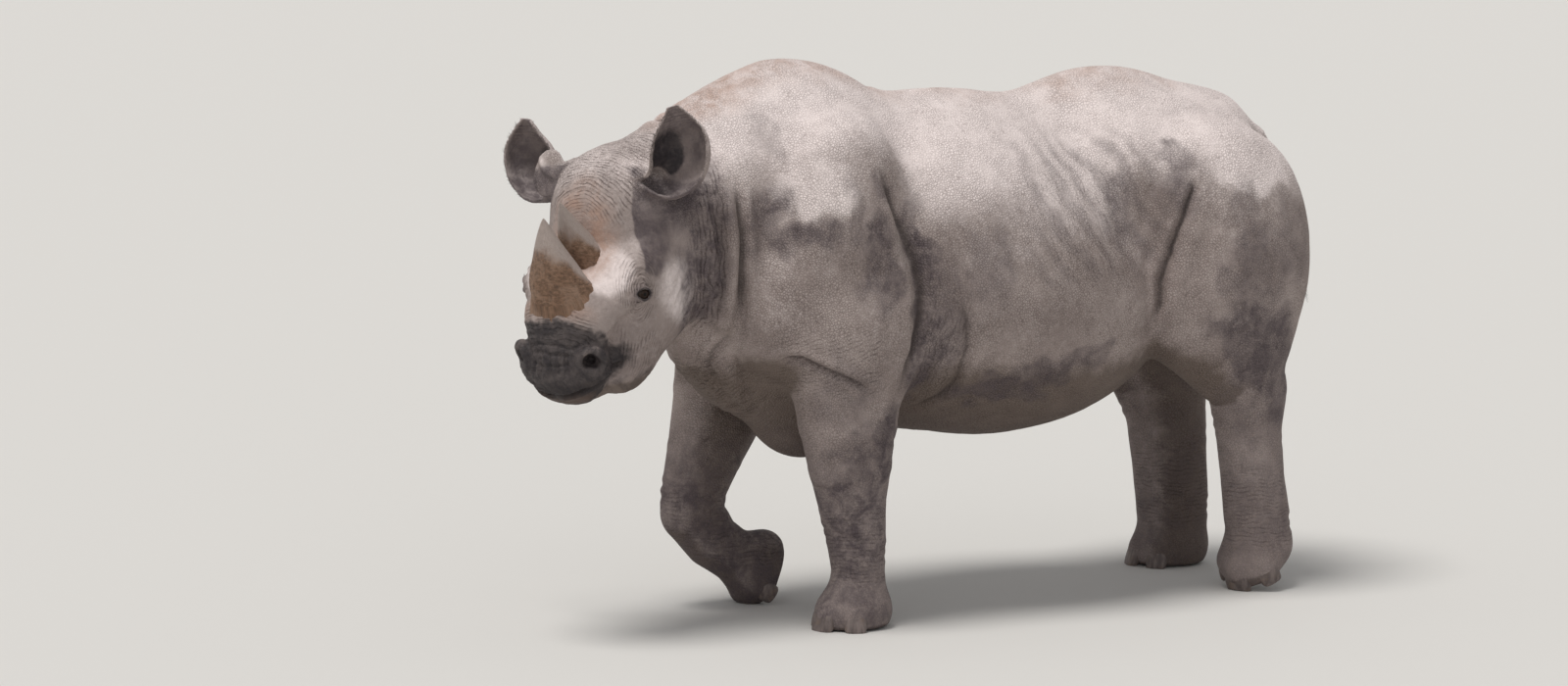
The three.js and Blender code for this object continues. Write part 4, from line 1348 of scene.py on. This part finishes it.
def hide_material(look):
    shader = Shader("rhinoceros_hide")

    def scaled(value, share):
        return shader.maths("MULTIPLY", value, share)

    space = shader.warped(9.0, 0.01)
    size = 1 / look.pebble_size
    edge = shader.cells(size, "DISTANCE_TO_EDGE", space, 0.9)
    grain = shader.noise(420, 4, 0.6)
    lumps = shader.noise(30, 4, 0.6, space=space)
    cloud = shader.noise(5.5, 5, 0.62)
    blots = shader.noise(19, 5, 0.65, distortion=0.6)
    flecks = shader.noise(60, 4, 0.7)

    # pebbles with painted shade in the cracks between them and painted light on their faces, and
    # painted shade along the wrinkles
    plainer = shader.span(shader.noise(12, 3, 0.6), 0.3, 0.6, 0.45, 1.0)
    pebbles = scaled(shader.shared("pebbles"), plainer)
    cracks = shader.mix(pebbles, (0.8, 0.8, 0.8), shader.span(edge, 0.0, 0.16))
    domes = shader.mix(pebbles, (0.6, 0.6, 0.6), shader.span(edge, 0.0, 0.4))
    shaken = shader.maths("ADD", shader.shared("line"), scaled(shader.noise(16, 3, 0.5), 3.0))
    wave = shader.maths("SINE", scaled(shaken, 2 * math.pi))
    wave = shader.span(wave, -0.98, -0.4)
    broken = shader.span(shader.noise(40, 2, 0.5), 0.32, 0.62)
    lined = scaled(shader.shared("lined"), broken)
    lines = shader.mix(lined, (1, 1, 1), wave)

    # the tints, laid one over another
    colour = shader.mix(shader.span(cloud, 0.3, 0.72), tuple(look.hide), tuple(look.hide_light))
    chalk = scaled(shader.maths("SUBTRACT", flecks, 0.12), 0.55)
    chalk = shader.maths("ADD", scaled(shader.shared("pale"), 0.8), chalk)
    # pale dried mud, with painted light on up-facing skin and the cheek
    colour = shader.mix(shader.span(chalk, 0.15, 0.95, 0.0, 0.97), colour, tuple(look.pale))
    # painted shade on the underside and the inside of the legs
    colour = shader.mix(scaled(patchy(shader, "belly", blots), 0.8), colour, tuple(look.belly))
    mottle = shader.span(shader.blend(0.4, blots, flecks), 0.36, 0.62)
    # dark patches, with painted shade between the ribs, inside the ears and round the lids
    shade = scaled(shader.shared("dark"), shader.maths("ADD", 0.34, scaled(mottle, 0.62)))
    colour = shader.mix(shade, colour, tuple(look.dark))
    stained = shader.maths("ADD", 0.5, scaled(mottle, 0.4))
    stained = scaled(patchy(shader, "stain", blots, 0.5, 0.1, 1.0), stained)
    colour = shader.mix(stained, colour, tuple(look.dark))
    dusty = scaled(shader.shared("dust"), shader.span(blots, 0.3, 0.65, 0.25, 0.95))
    colour = shader.mix(dusty, colour, tuple(look.dust))
    # the dark muzzle, with painted shade at the edges of the lids and in the ears' hollows
    sooty = shader.maths("ADD", 0.78, scaled(mottle, 0.2))
    sooty = scaled(patchy(shader, "charcoal", blots, 0.8), sooty)
    colour = shader.mix(sooty, colour, tuple(look.charcoal))
    colour = shader.mix(scaled(shader.shared("pink"), 0.7), colour, tuple(look.pink))
    specks = shader.span(shader.noise(150, 2, 0.5), 0.68, 0.76)
    colour = shader.mix(scaled(specks, 0.3), colour, tuple(look.dark))
    # painted shade in the cracks between the pebbles, and painted light on the pebbles
    colour = shader.mix(0.8, colour, shader.mix(cracks, (0.5, 0.47, 0.46), (1.17, 1.16, 1.15)),
                        "MULTIPLY")
    # painted shade along the wrinkles
    colour = shader.mix(0.8, colour, shader.mix(lines, (0.55, 0.52, 0.51), (1.04, 1.04, 1.04)),
                        "MULTIPLY")
    # painted shade at the bottom of the deep folds
    colour = shader.mix(shader.span(shader.shared("crease"), 0.12, 1.0, 0.0, 0.7), colour,
                        tuple(look.crease))
    # from the broadest unevenness to the finest
    low = shader.bump(lumps, 0.005, 0.5)
    middle = shader.bump(domes, look.pebble_depth, 0.9, under=low)
    ruled = shader.bump(lines, look.pebble_depth * 1.3, 0.9, under=middle)
    split = shader.bump(flecks, 0.0022, 0.6, under=ruled)
    normal = shader.bump(grain, 0.0006, 0.5, under=split)
    rough = shader.span(shader.shared("charcoal"), 0.0, 1.0, 0.82, 0.6)
    shader.out.inputs["Specular IOR Level"].default_value = 0.25
    return shader.finish(Base_Color=colour, Roughness=rough, Normal=normal)


def piece_of(mesh, name, slot, material, *nodes, smooth=True):
    """A piece in the scene that rides with the model and stands for the given nodes."""
    mesh.name = name
    made = bpy.data.objects.new(name, mesh)
    bpy.context.scene.collection.objects.link(made)
    mesh.materials.clear()
    mesh.materials.append(material)
    if smooth:
        mesh.polygons.foreach_set("use_smooth", np.ones(len(mesh.polygons), bool))
    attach(made, "root")
    if nodes:
        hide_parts(*nodes)
    return made


def build_skin(look):
    coarse = 1.0
    mesh, points = skin_mesh(look.body_cell / MM * coarse, look.head_cell / MM * coarse)
    mesh.vertices.foreach_set("co", points.astype(np.float32).ravel())
    mesh.update()
    normals = read_points(mesh, "vertex_normals", "vector")
    skin = Surface(points, normals)
    body_folds(skin)
    knee_folds(skin)
    neck_folds(skin)
    head_folds(skin)
    muscles(skin)
    creases(skin)
    shares = markings(skin)
    result = skin.result()
    result[:, 2] = np.maximum(result[:, 2], FLOOR_GAP)
    mesh.vertices.foreach_set("co", to_part(result).astype(np.float32).ravel())
    mesh.update()
    note_on(mesh, shares)
    return piece_of(mesh, "skin", "hide", hide_material(look), *FLESH)


def ring_mesh(rings, name):
    """A closed sleeve through rings of points, with a point at each end."""
    rings = [np.asarray(ring) for ring in rings]
    sides = len(rings[0])
    points = np.vstack([*rings, rings[0].mean(axis=0)[None], rings[-1].mean(axis=0)[None]])
    start, end = len(rings) * sides, len(rings) * sides + 1
    bm = bmesh.new()
    verts = [bm.verts.new(p) for p in points]
    for n in range(sides):
        m = (n + 1) % sides
        for ring in range(len(rings) - 1):
            a, b = ring * sides + n, ring * sides + m
            bm.faces.new([verts[i] for i in (a, b, b + sides, a + sides)])
        bm.faces.new([verts[i] for i in (start, m, n)])
        bm.faces.new([verts[i] for i in (end, start - sides + n, start - sides + m)])
    bmesh.ops.recalc_face_normals(bm, faces=bm.faces)
    mesh = bpy.data.meshes.new(name)
    bm.to_mesh(mesh)
    bm.free()
    return mesh


# Each horn: where it stands on the face, its length, half width at its base, how far it
# leans back and how much more it curls, in degrees.
HORNS = {
    "front": {"at": (401, 112), "length": 214, "base": 110, "lean": 20, "curl": 26},
    "rear": {"at": (266, 52), "length": 194, "base": 86, "lean": 12, "curl": 18},
}
HORN_ROOT = 90  # how far a horn starts below the point that it is placed by


def horn_material(look):
    shader = Shader("horn_fibre")
    around, along = shader.shared("around"), shader.shared("along")
    strand = shader.node("ShaderNodeCombineXYZ")
    shader.plug(strand.inputs[0], around)
    shader.plug(strand.inputs[1], along)
    fibres = shader.noise(9, 5, 0.62, space=shader.stretched(strand.outputs[0], (3.2, 0.5, 1)))
    fine = shader.noise(46, 3, 0.6, space=shader.stretched(strand.outputs[0], (3.2, 0.3, 1)))
    layers = shader.noise(5, 5, 0.7, space=shader.stretched(strand.outputs[0], (0.9, 6, 1)))
    blots = shader.noise(15, 5, 0.6, distortion=0.4)
    crust = shader.noise(60, 5, 0.7)
    flakes = shader.blend(0.3, layers, crust)
    bark = shader.mix(shader.span(flakes, 0.36, 0.62), tuple(look.bark_dark), tuple(look.bark))
    worn = shader.blend(0.8, fibres, blots)
    bark = shader.mix(shader.span(worn, 0.46, 0.62, 0.0, 0.5), bark, tuple(look.bark_pale))
    cream = shader.mix(shader.span(fine, 0.35, 0.65), tuple(look.tip_dark), tuple(look.tip))
    uneven = shader.maths("MULTIPLY", shader.maths("SUBTRACT", worn, 0.5), 0.7)
    rise = shader.maths("ADD", along, uneven)
    rise = shader.maths("ADD", rise, shader.span(around, 0.9, 2.4, -0.08, 0.42))
    colour = shader.mix(shader.span(rise, 0.28, 0.58), bark, cream)
    rough = shader.span(along, 0.2, 0.8, 0.88, 0.5)
    lumpy = shader.bump(flakes, 0.005, 0.8)
    coarse = shader.bump(fibres, 0.003, 0.6, under=lumpy)
    normal = shader.bump(fine, 0.0009, 0.5, under=coarse)
    return shader.finish(Base_Color=colour, Roughness=rough, Normal=normal)


def horn_piece(name, horn, material):
    """A fibrous horn: a ragged base sunk in the skin, worn smooth towards its tip."""
    rings, sides = 80, 72
    x, z = horn["at"][0] + HORN_ROOT / 6, horn["at"][1] - HORN_ROOT
    step = (horn["length"] + HORN_ROOT) / (rings - 1)
    turn = np.linspace(0, 2 * math.pi, sides, endpoint=False)
    rows, around, along = [], [], []
    for ring in range(rings):
        t = ring / (rings - 1)
        angle = math.radians(horn["lean"] + horn["curl"] * t)
        thick = horn["base"] * (1 - t * 0.997) ** 0.8 * (1 + 0.12 * (1 - min(1, 4 * t)))
        wear = 1 - steady(t, 0.4, 0.85)
        spots = np.stack([np.cos(turn) * 3, np.sin(turn) * 3, np.full(sides, t * 3)], axis=1)
        splits = layered_noise(spots * (1, 1, 0.5), 0.6, 5, 3)
        flakes = layered_noise(spots + 9, 0.9, 8, 3)
        r = thick * (1 + wear * (0.05 * splits + 0.06 * flakes) + 0.015 * splits)
        across = np.cos(turn) * r * 0.92
        local = np.stack([x + across * math.cos(angle), np.sin(turn) * r * 1.04,
                          z + across * math.sin(angle)], axis=1)
        rows.append(to_part(carried(HEAD, local)))
        around.extend(np.minimum(turn, 2 * math.pi - turn))
        along.extend(np.full(sides, max(0, (t - 0.28) / 0.72)) - 0.12 * np.cos(turn))
        x -= math.sin(angle) * step
        z += math.cos(angle) * step
    mesh = ring_mesh(rows, name)
    note_on(mesh, {"around": [*around, 0, 0], "along": [*along, 0, 1]})
    return piece_of(mesh, f"horn_{name}_fibre", "horn", material, f"horn_{name}")


def nail_material(look):
    shader = Shader("nail_horn")
    grain = shader.noise(90, 4, 0.6, space=shader.stretched(shader.space, (1, 1, 0.25)))
    blots = shader.noise(30, 4, 0.6)
    colour = shader.mix(shader.span(grain, 0.3, 0.7), tuple(look.nail_dark), tuple(look.nail))
    colour = shader.mix(shader.span(blots, 0.5, 0.7, 0.0, 0.5), colour, tuple(look.soil))
    normal = shader.bump(grain, 0.0015, 0.7)
    return shader.finish(Base_Color=colour, Roughness=0.62, Normal=normal)


def nail_piece(leg_name, number, material):
    """A rounded plate at the rim of the foot, flat where it meets the ground."""
    leg, turn = LEGS[leg_name], NAIL_TURNS[number]
    size = (17, 32, 44) if turn else (18, 42, 52)
    place = (foot_frame(leg) @ placement((0, 0, 0), turn=turn)
             @ placement((FOOT_DEEP - (14 if turn else 8), 0, 24), drop=-16))
    bm = bmesh.new()
    bmesh.ops.create_uvsphere(bm, u_segments=32, v_segments=20, radius=1)
    for vert in bm.verts:
        flat = np.sign(vert.co) * np.abs(vert.co) ** 0.86
        ridge = 1 + 0.012 * math.sin(26 * math.atan2(vert.co.z, vert.co.y))
        p = carried(place, flat * size * ridge)
        own = carried(np.linalg.inv(foot_frame(leg)), p)
        own[2] = max(own[2], 0.5)
        p = carried(foot_frame(leg), own)
        p[2] = max(p[2], FLOOR_GAP)
        vert.co = to_part(p)
    mesh = bpy.data.meshes.new("nail")
    bm.to_mesh(mesh)
    bm.free()
    node = f"nail_{leg_name}_{number + 1}"
    return piece_of(mesh, node + "_plate", "nail", material, node)


def eye_material(look):
    """Dark brown iris and pupil, with the white of the eye brown towards the lids."""
    shader = Shader("eye")
    away = shader.shared("from_pupil")
    threads = shader.noise(800, 3, 0.6)
    iris = shader.mix(threads, tuple(look.iris_dark), tuple(look.iris))
    colour = shader.mix(shader.span(away, 0.16, 0.21), (0.004, 0.003, 0.003), iris)
    colour = shader.mix(shader.span(away, 0.5, 0.58), colour, tuple(look.eye_white))
    shader.out.inputs["Specular IOR Level"].default_value = 0.1
    shader.out.inputs["Coat Weight"].default_value = 0.1
    shader.out.inputs["Coat Roughness"].default_value = 0.03
    return shader.finish(Base_Color=colour, Roughness=0.12)


def eye_piece(word, side, material):
    """A ball with a raised cornea that looks out sideways and a little ahead."""
    centre = on_side(EYE_AT, side)
    gaze = level_axes(side, EYE_LOOK)[0]
    bm = bmesh.new()
    bmesh.ops.create_icosphere(bm, subdivisions=5, radius=1)
    away = []
    for vert in bm.verts:
        way = np.array(vert.co)
        angle = math.acos(max(-1, min(1, float(way @ gaze))))
        away.append(angle)
        bulge = 1 + 0.05 * float(steady(0.75 - angle, 0, 0.6))
        vert.co = to_part(carried(HEAD, centre + way * (EYE_RADIUS - 0.6) * bulge))
    mesh = bpy.data.meshes.new("eye")
    bm.to_mesh(mesh)
    bm.free()
    note_on(mesh, {"from_pupil": away})
    return piece_of(mesh, f"eye_{word}_ball", "eye", material, f"eye_{word}")


# ---------------------------------------------------------------- hairs
def tuft_mesh(roots, name):
    """Tapered three-sided hairs. Each root gives the hair's spine and half thickness, and
    the place of its patch on the unwrap."""
    points, faces, places = [], [], []
    for spine, thick, place in roots:
        spine = np.asarray(spine, float)
        along = spine[-1] - spine[0]
        side = np.cross(along, (0.31, 0.77, 0.55))
        side /= np.linalg.norm(side)
        other = np.cross(along, side) / np.linalg.norm(along)
        start = len(points)
        for n, spot in enumerate(spine[:-1]):
            r = thick * (1 - n / (len(spine) - 0.6))
            for k in range(3):
                turn = 2 * math.pi * k / 3
                points.append(spot + r * (math.cos(turn) * side + math.sin(turn) * other))
        points.append(spine[-1])
        tip = len(points) - 1
        for n in range(len(spine) - 2):
            for k in range(3):
                a, b = start + 3 * n + k, start + 3 * n + (k + 1) % 3
                faces.append((a, b, b + 3))
                faces.append((a, b + 3, a + 3))
                places.extend([place, place])
        last = start + 3 * (len(spine) - 2)
        for k in range(3):
            faces.append((last + k, last + (k + 1) % 3, tip))
            places.append(place)
        faces.append((start + 2, start + 1, start))
        places.append(place)
    mesh = mesh_from(to_part(np.array(points)), np.array(faces), name)
    layer = mesh.uv_layers.new(name="OFBake")
    corner = np.array([(0, 0), (0.003, 0), (0.0015, 0.003)])
    spots = np.repeat(np.array(places, float) * 0.99 + 0.003, 3, axis=0)
    spots = spots + np.tile(corner, (len(faces), 1))
    layer.data.foreach_set("uv", spots.astype(np.float32).ravel())
    return mesh


EAR_HAIRS = 420  # on each ear
TAIL_HAIRS = 520
LASHES_ON_ARC = 4  # on each of the arcs of the upper lid


def hair_material(look):
    shader = Shader("bristle")
    shade = shader.noise(60, 3, 0.6)
    colour = shader.mix(shade, tuple(look.hair), tuple(look.hair_light))
    return shader.finish(Base_Color=colour, Roughness=0.7)


def ear_hairs(ear, chance):
    """A fringe along the rim of an ear, longest at its tip."""
    roots = []
    centre, up, back, across, radius, arc, _ = ear_rings(ear, EAR_RINGS)
    for _ in range(EAR_HAIRS):
        t = chance.uniform(0.3, 1.0)
        edge = chance.choice((-1, 1)) if t < 0.97 else chance.uniform(-1, 1)
        ring = int(t * (EAR_RINGS - 1))
        turn = edge * arc[ring]
        outward = back[ring] * math.cos(turn) + across[ring] * math.sin(turn)
        spot = centre[ring] + radius[ring] * outward
        rim = (across[ring] * math.cos(turn) - back[ring] * math.sin(turn)) * np.sign(edge)
        grow = 0.9 * rim + 0.6 * up[ring] * (0.3 + t) + 0.35 * chance.normal(size=3)
        grow /= np.linalg.norm(grow)
        length = chance.uniform(6, 13) * (0.7 + 0.6 * t)
        start = spot + chance.normal(size=3) * 1.2
        end = start + grow * length + up[ring] * length * 0.12
        spine = [start, start + grow * length * 0.5, end]
        roots.append((spine, 0.55, (t, 0.5 + 0.45 * edge)))
    return roots


def tail_hairs(chance):
    """The flattened brush at the end of the tail."""
    roots = []
    above, below = (np.array(joint[:3], float) for joint in TAIL_JOINTS[-2:])
    for _ in range(TAIL_HAIRS):
        t = chance.uniform(0, 1)
        turn = chance.uniform(0, 2 * math.pi)
        spot = above + (below - above) * t
        way = np.array([math.cos(turn), 0.6 * math.sin(turn), 0])
        start = spot + way * (24 - 5 * t)
        length = chance.uniform(45, 95) * (0.6 + 0.6 * t)
        fall = np.array([-0.05, 0.02, -1.0]) + 0.22 * way + 0.07 * chance.normal(size=3)
        fall /= np.linalg.norm(fall)
        middle = start + way * 5 + fall * length * 0.5
        end = middle + fall * length * 0.5 - way * 3
        roots.append(([start, middle, end], 0.8, (turn / 6.3, t)))
    return roots


def lash_hairs(side, chance):
    """Short lashes along the upper lid."""
    roots = []
    ring = eye_ring(side, 31, 68, 47)
    outer = eye_ring(side, 42, 74, 56)
    for n in range(1, 7):
        for _ in range(LASHES_ON_ARC):
            share = chance.uniform(0, 1)
            start = ring[n] * (1 - share) + ring[n + 1] * share
            ahead = outer[n] * (1 - share) + outer[n + 1] * share - start
            length = chance.uniform(0.5, 0.95)
            spine = [start, start + ahead * length * 0.5 + (0, 0, -2), start + ahead * length]
            roots.append((spine, 0.45, (0.1 + 0.05 * n + 0.04 * share, 0.5)))
    return roots


# ---------------------------------------------------------------- stage
FLOOR_RADIUS = 70.0
SENSOR_WIDTH = 36
SEEN_AT_MOST = 300.0  # metres from the camera
AIM = (600, 0, 777)  # what the camera looks at


def stage_material(look):
    shader = Shader("studio_floor")
    return shader.finish(Base_Color=tuple(look.floor), Roughness=0.9)


def lamp(name, towards, spread, strength, colour=(1, 1, 1)):
    """A far, soft lamp that lights floor and animal evenly."""
    data = bpy.data.lights.new(name, "SUN")
    data.angle, data.energy, data.color = math.radians(spread), strength, colour
    made = bpy.data.objects.new(name, data)
    made.rotation_euler = Vector(towards).to_track_quat("Z", "Y").to_euler()
    bpy.context.scene.collection.objects.link(made)


def build_stage(look):
    bm = bmesh.new()
    bmesh.ops.create_circle(bm, cap_ends=True, segments=96, radius=FLOOR_RADIUS)
    mesh = bpy.data.meshes.new("floor")
    bm.to_mesh(mesh)
    bm.free()
    floor = bpy.data.objects.new("floor", mesh)
    mesh.materials.append(stage_material(look))
    bpy.context.scene.collection.objects.link(floor)

    # two lamps, and surroundings that light evenly and look like the floor
    lamp("key", (0.1, -0.35, 1.0), 24, look.key_light, (1.0, 0.97, 0.93))
    lamp("fill", (1.0, -0.5, 0.45), 60, look.fill_light, (0.97, 0.98, 1.0))

    scene = bpy.context.scene
    world = bpy.data.worlds.new("studio")
    world.use_nodes = True
    scene.world = world
    tree = world.node_tree
    light = tree.nodes["Background"]
    light.inputs["Color"].default_value = (1, 1, 1, 1)
    light.inputs["Strength"].default_value = look.world_light
    seen = tree.nodes.new("ShaderNodeBackground")
    seen.inputs["Color"].default_value = (*look.floor, 1)
    seen.inputs["Strength"].default_value = 1.0
    path = tree.nodes.new("ShaderNodeLightPath")
    chosen = tree.nodes.new("ShaderNodeMixShader")
    share = path.outputs["Is Camera Ray"]
    for ray in ("Is Glossy Ray", "Is Transmission Ray"):
        either = tree.nodes.new("ShaderNodeMath")
        either.operation = "MAXIMUM"
        tree.links.new(share, either.inputs[0])
        tree.links.new(path.outputs[ray], either.inputs[1])
        share = either.outputs[0]
    tree.links.new(share, chosen.inputs[0])
    tree.links.new(light.outputs[0], chosen.inputs[1])
    tree.links.new(seen.outputs[0], chosen.inputs[2])
    tree.links.new(chosen.outputs[0], tree.nodes["World Output"].inputs["Surface"])

    data = bpy.data.cameras.new("camera")
    data.lens = look.camera_lens
    data.sensor_width = SENSOR_WIDTH
    data.clip_end = SEEN_AT_MOST
    camera = bpy.data.objects.new("camera", data)
    turn = look.camera_turn
    aim = Vector(to_part(AIM))
    far = look.camera_distance
    place = Vector((aim.x + far * math.cos(turn), aim.y - far * math.sin(turn), look.camera_height))
    camera.location = place
    camera.rotation_euler = (aim - place).to_track_quat("-Z", "Y").to_euler()
    scene.collection.objects.link(camera)
    scene.camera = camera
    scene.view_settings.view_transform = "Standard"


# ---------------------------------------------------------------- what a user can change
def tint(name, colour, what):
    return FloatVectorProperty(
        name=name, description=what, default=colour, size=3, min=0, max=1, subtype="COLOR"
    )


class RhinoHideLook(bpy.types.PropertyGroup):
    """The skin's fineness, its pebbles and its tints."""

    body_cell: FloatProperty(
        name="Body cell", description="Size of the skin's facets on the body", default=0.008,
        min=0.006, unit="LENGTH")
    head_cell: FloatProperty(
        name="Head cell", description="Size of the skin's facets on the head", default=0.004,
        min=0.003, unit="LENGTH")
    pebble_size: FloatProperty(
        name="Pebble size", description="Width of one pebble of the hide", default=0.0074,
        min=0.004, unit="LENGTH")
    pebble_depth: FloatProperty(
        name="Pebble depth", description="Height of the pebbles above their cracks",
        default=0.0021, min=0, unit="LENGTH")
    hide: tint("Hide", (0.26, 0.214, 0.2), "Deeper tint of the clean hide")
    hide_light: tint("Hide, light", (0.38, 0.322, 0.304), "Lighter tint of the clean hide")
    # the dried mud tint also serves as painted light on up-facing skin and the cheek
    pale: tint("Dried mud", (0.86, 0.775, 0.765), "Pale dried mud on the back and cheeks")
    # the dark tint also serves as painted shade between the ribs, inside the ears and round the
    # lids
    dark: tint("Dark patches", (0.088, 0.07, 0.077), "Damp-looking patches")
    dust: tint("Dust", (0.42, 0.265, 0.2), "Red earth on the spine, nape and forehead")
    # the muzzle tint also serves as painted shade at the edges of the lids and in the ears' hollows
    charcoal: tint("Muzzle", (0.027, 0.023, 0.026), "The dark muzzle")
    # the belly tint is painted shade on the underside and the inside of the legs
    belly: tint("Belly", (0.115, 0.087, 0.07), "The underside and the inside of the legs")
    pink: tint("Lip", (0.14, 0.092, 0.07), "The inside of the lower lip")
    # tint of the painted shade at the bottom of the deep folds
    crease: tint("Crease", (0.045, 0.034, 0.031), "The bottom of the deep folds")


class RhinoHornLook(bpy.types.PropertyGroup):
    """The tints of the horns and nails."""

    bark: tint("Bark", (0.28, 0.165, 0.105), "Rough base of the horns")
    bark_dark: tint("Bark, dark", (0.1, 0.058, 0.036), "Splits in the base of the horns")
    bark_pale: tint("Bark, pale", (0.38, 0.26, 0.19), "Flaked spots on the base")
    tip: tint("Tip", (0.5, 0.42, 0.385), "Worn tip of the horns")
    tip_dark: tint("Tip, dark", (0.33, 0.265, 0.235), "Streaks in the worn tip")
    nail: tint("Nail", (0.2, 0.16, 0.15), "Clean nail")
    nail_dark: tint("Nail, dark", (0.09, 0.07, 0.066), "Streaks in the nail")
    soil: tint("Soil", (0.2, 0.14, 0.1), "Dry soil on the nails")


class RhinoEyeLook(bpy.types.PropertyGroup):
    """The tints of the eyes and hairs."""

    iris: tint("Iris", (0.03, 0.014, 0.008), "Iris")
    iris_dark: tint("Iris, dark", (0.009, 0.005, 0.004), "Threads of the iris")
    eye_white: tint("White of the eye", (0.035, 0.022, 0.017), "The brown white of the eye")
    hair: tint("Bristle", (0.02, 0.017, 0.016), "Hairs of the ears and the tail")
    hair_light: tint("Bristle, light", (0.06, 0.045, 0.038), "Sunned hairs")
    hair_seed: IntProperty(name="Seed", description="Seed of the hairs' places", default=11)


class RhinoStageLook(bpy.types.PropertyGroup):
    """The floor, the lamps and the camera."""

    floor: tint("Floor", (0.78, 0.77, 0.75), "The studio floor")
    key_light: FloatProperty(name="Key light", description="Strength of the lamp overhead",
                             default=1.85, min=0)
    fill_light: FloatProperty(name="Fill light", description="Strength of the lamp at the side",
                              default=0.3, min=0)
    world_light: FloatProperty(name="Surroundings", description="Strength of the even light",
                               default=0.31, min=0)
    camera_turn: FloatProperty(name="Camera turn", description="How far ahead of a side view",
                               default=math.radians(30), subtype="ANGLE", unit="ROTATION")
    camera_distance: FloatProperty(name="Camera distance", description="From the animal",
                                   default=20.0, min=3, unit="LENGTH")
    camera_height: FloatProperty(name="Camera height", description="Above the floor",
                                 default=3.41, min=0.1, unit="LENGTH")
    camera_lens: FloatProperty(name="Lens", description="Focal length in millimetres",
                               default=165.0, min=20)


# ---------------------------------------------------------------- operators
class RHINO_OT_skin(bpy.types.Operator):
    """Draw the skin over the whole body, with its folds and markings"""

    bl_idname = "rhino.skin"
    bl_label = "Skin"

    def execute(self, context):
        build_skin(context.scene.rhino_hide)
        return {"FINISHED"}


class RHINO_OT_horns(bpy.types.Operator):
    """Make the two fibrous horns"""

    bl_idname = "rhino.horns"
    bl_label = "Horns"

    def execute(self, context):
        material = horn_material(context.scene.rhino_horn)
        for name, horn in HORNS.items():
            horn_piece(name, horn, material)
        return {"FINISHED"}


class RHINO_OT_nails(bpy.types.Operator):
    """Make the three nails of each foot"""

    bl_idname = "rhino.nails"
    bl_label = "Nails"

    def execute(self, context):
        material = nail_material(context.scene.rhino_horn)
        for leg_name in LEGS:
            for number in range(len(NAIL_TURNS)):
                nail_piece(leg_name, number, material)
        return {"FINISHED"}


class RHINO_OT_eyes(bpy.types.Operator):
    """Make the two eyes"""

    bl_idname = "rhino.eyes"
    bl_label = "Eyes"

    def execute(self, context):
        material = eye_material(context.scene.rhino_eye)
        for word, side in (("left", 1), ("right", -1)):
            eye_piece(word, side, material)
        return {"FINISHED"}


class RHINO_OT_hairs(bpy.types.Operator):
    """Grow the fringes of the ears, the lashes and the brush of the tail"""

    bl_idname = "rhino.hairs"
    bl_label = "Hairs"

    def execute(self, context):
        look = context.scene.rhino_eye
        material = hair_material(look)
        chance = np.random.default_rng(look.hair_seed)
        groups = {f"fringe_{word}": ear_hairs(ear, chance) for word, ear in EARS.items()}
        groups["tail_brush"] = tail_hairs(chance)
        groups["lashes_left"] = lash_hairs(1, chance)
        groups["lashes_right"] = lash_hairs(-1, chance)
        for name, roots in groups.items():
            piece_of(tuft_mesh(roots, name), name, "hide", material)
        return {"FINISHED"}


class RHINO_OT_stage(bpy.types.Operator):
    """Lay the floor, hang the lamps and set the camera"""

    bl_idname = "rhino.stage"
    bl_label = "Stage"

    def execute(self, context):
        build_stage(context.scene.rhino_stage)
        return {"FINISHED"}


class RHINO_PT_panel(bpy.types.Panel):
    """Lists the steps that build the rhinoceros"""

    bl_label = "Rhinoceros"
    bl_idname = "RHINO_PT_panel"
    bl_space_type = "VIEW_3D"
    bl_region_type = "UI"
    bl_category = "Rhinoceros"

    def draw(self, context):
        for step in STEPS:
            self.layout.operator(step.bl_idname)


STEPS = (
    RHINO_OT_stage,
    RHINO_OT_skin,
    RHINO_OT_eyes,
    RHINO_OT_horns,
    RHINO_OT_nails,
    RHINO_OT_hairs,
)
LOOKS = {
    "rhino_hide": RhinoHideLook,
    "rhino_horn": RhinoHornLook,
    "rhino_eye": RhinoEyeLook,
    "rhino_stage": RhinoStageLook,
}


def register():
    for look in LOOKS.values():
        bpy.utils.register_class(look)
    for name, look in LOOKS.items():
        setattr(bpy.types.Scene, name, PointerProperty(type=look))
    for step in STEPS:
        bpy.utils.register_class(step)
    bpy.utils.register_class(RHINO_PT_panel)


def unregister():
    bpy.utils.unregister_class(RHINO_PT_panel)
    for step in reversed(STEPS):
        bpy.utils.unregister_class(step)
    for name in LOOKS:
        delattr(bpy.types.Scene, name)
    for look in reversed(LOOKS.values()):
        bpy.utils.unregister_class(look)


def main():
    register()
    bpy.ops.rhino.stage()
    bpy.ops.rhino.skin()
    bpy.ops.rhino.eyes()
    bpy.ops.rhino.horns()
    bpy.ops.rhino.nails()
    bpy.ops.rhino.hairs()
    bpy.context.view_layer.update()


if __name__ == "__main__":
    main()
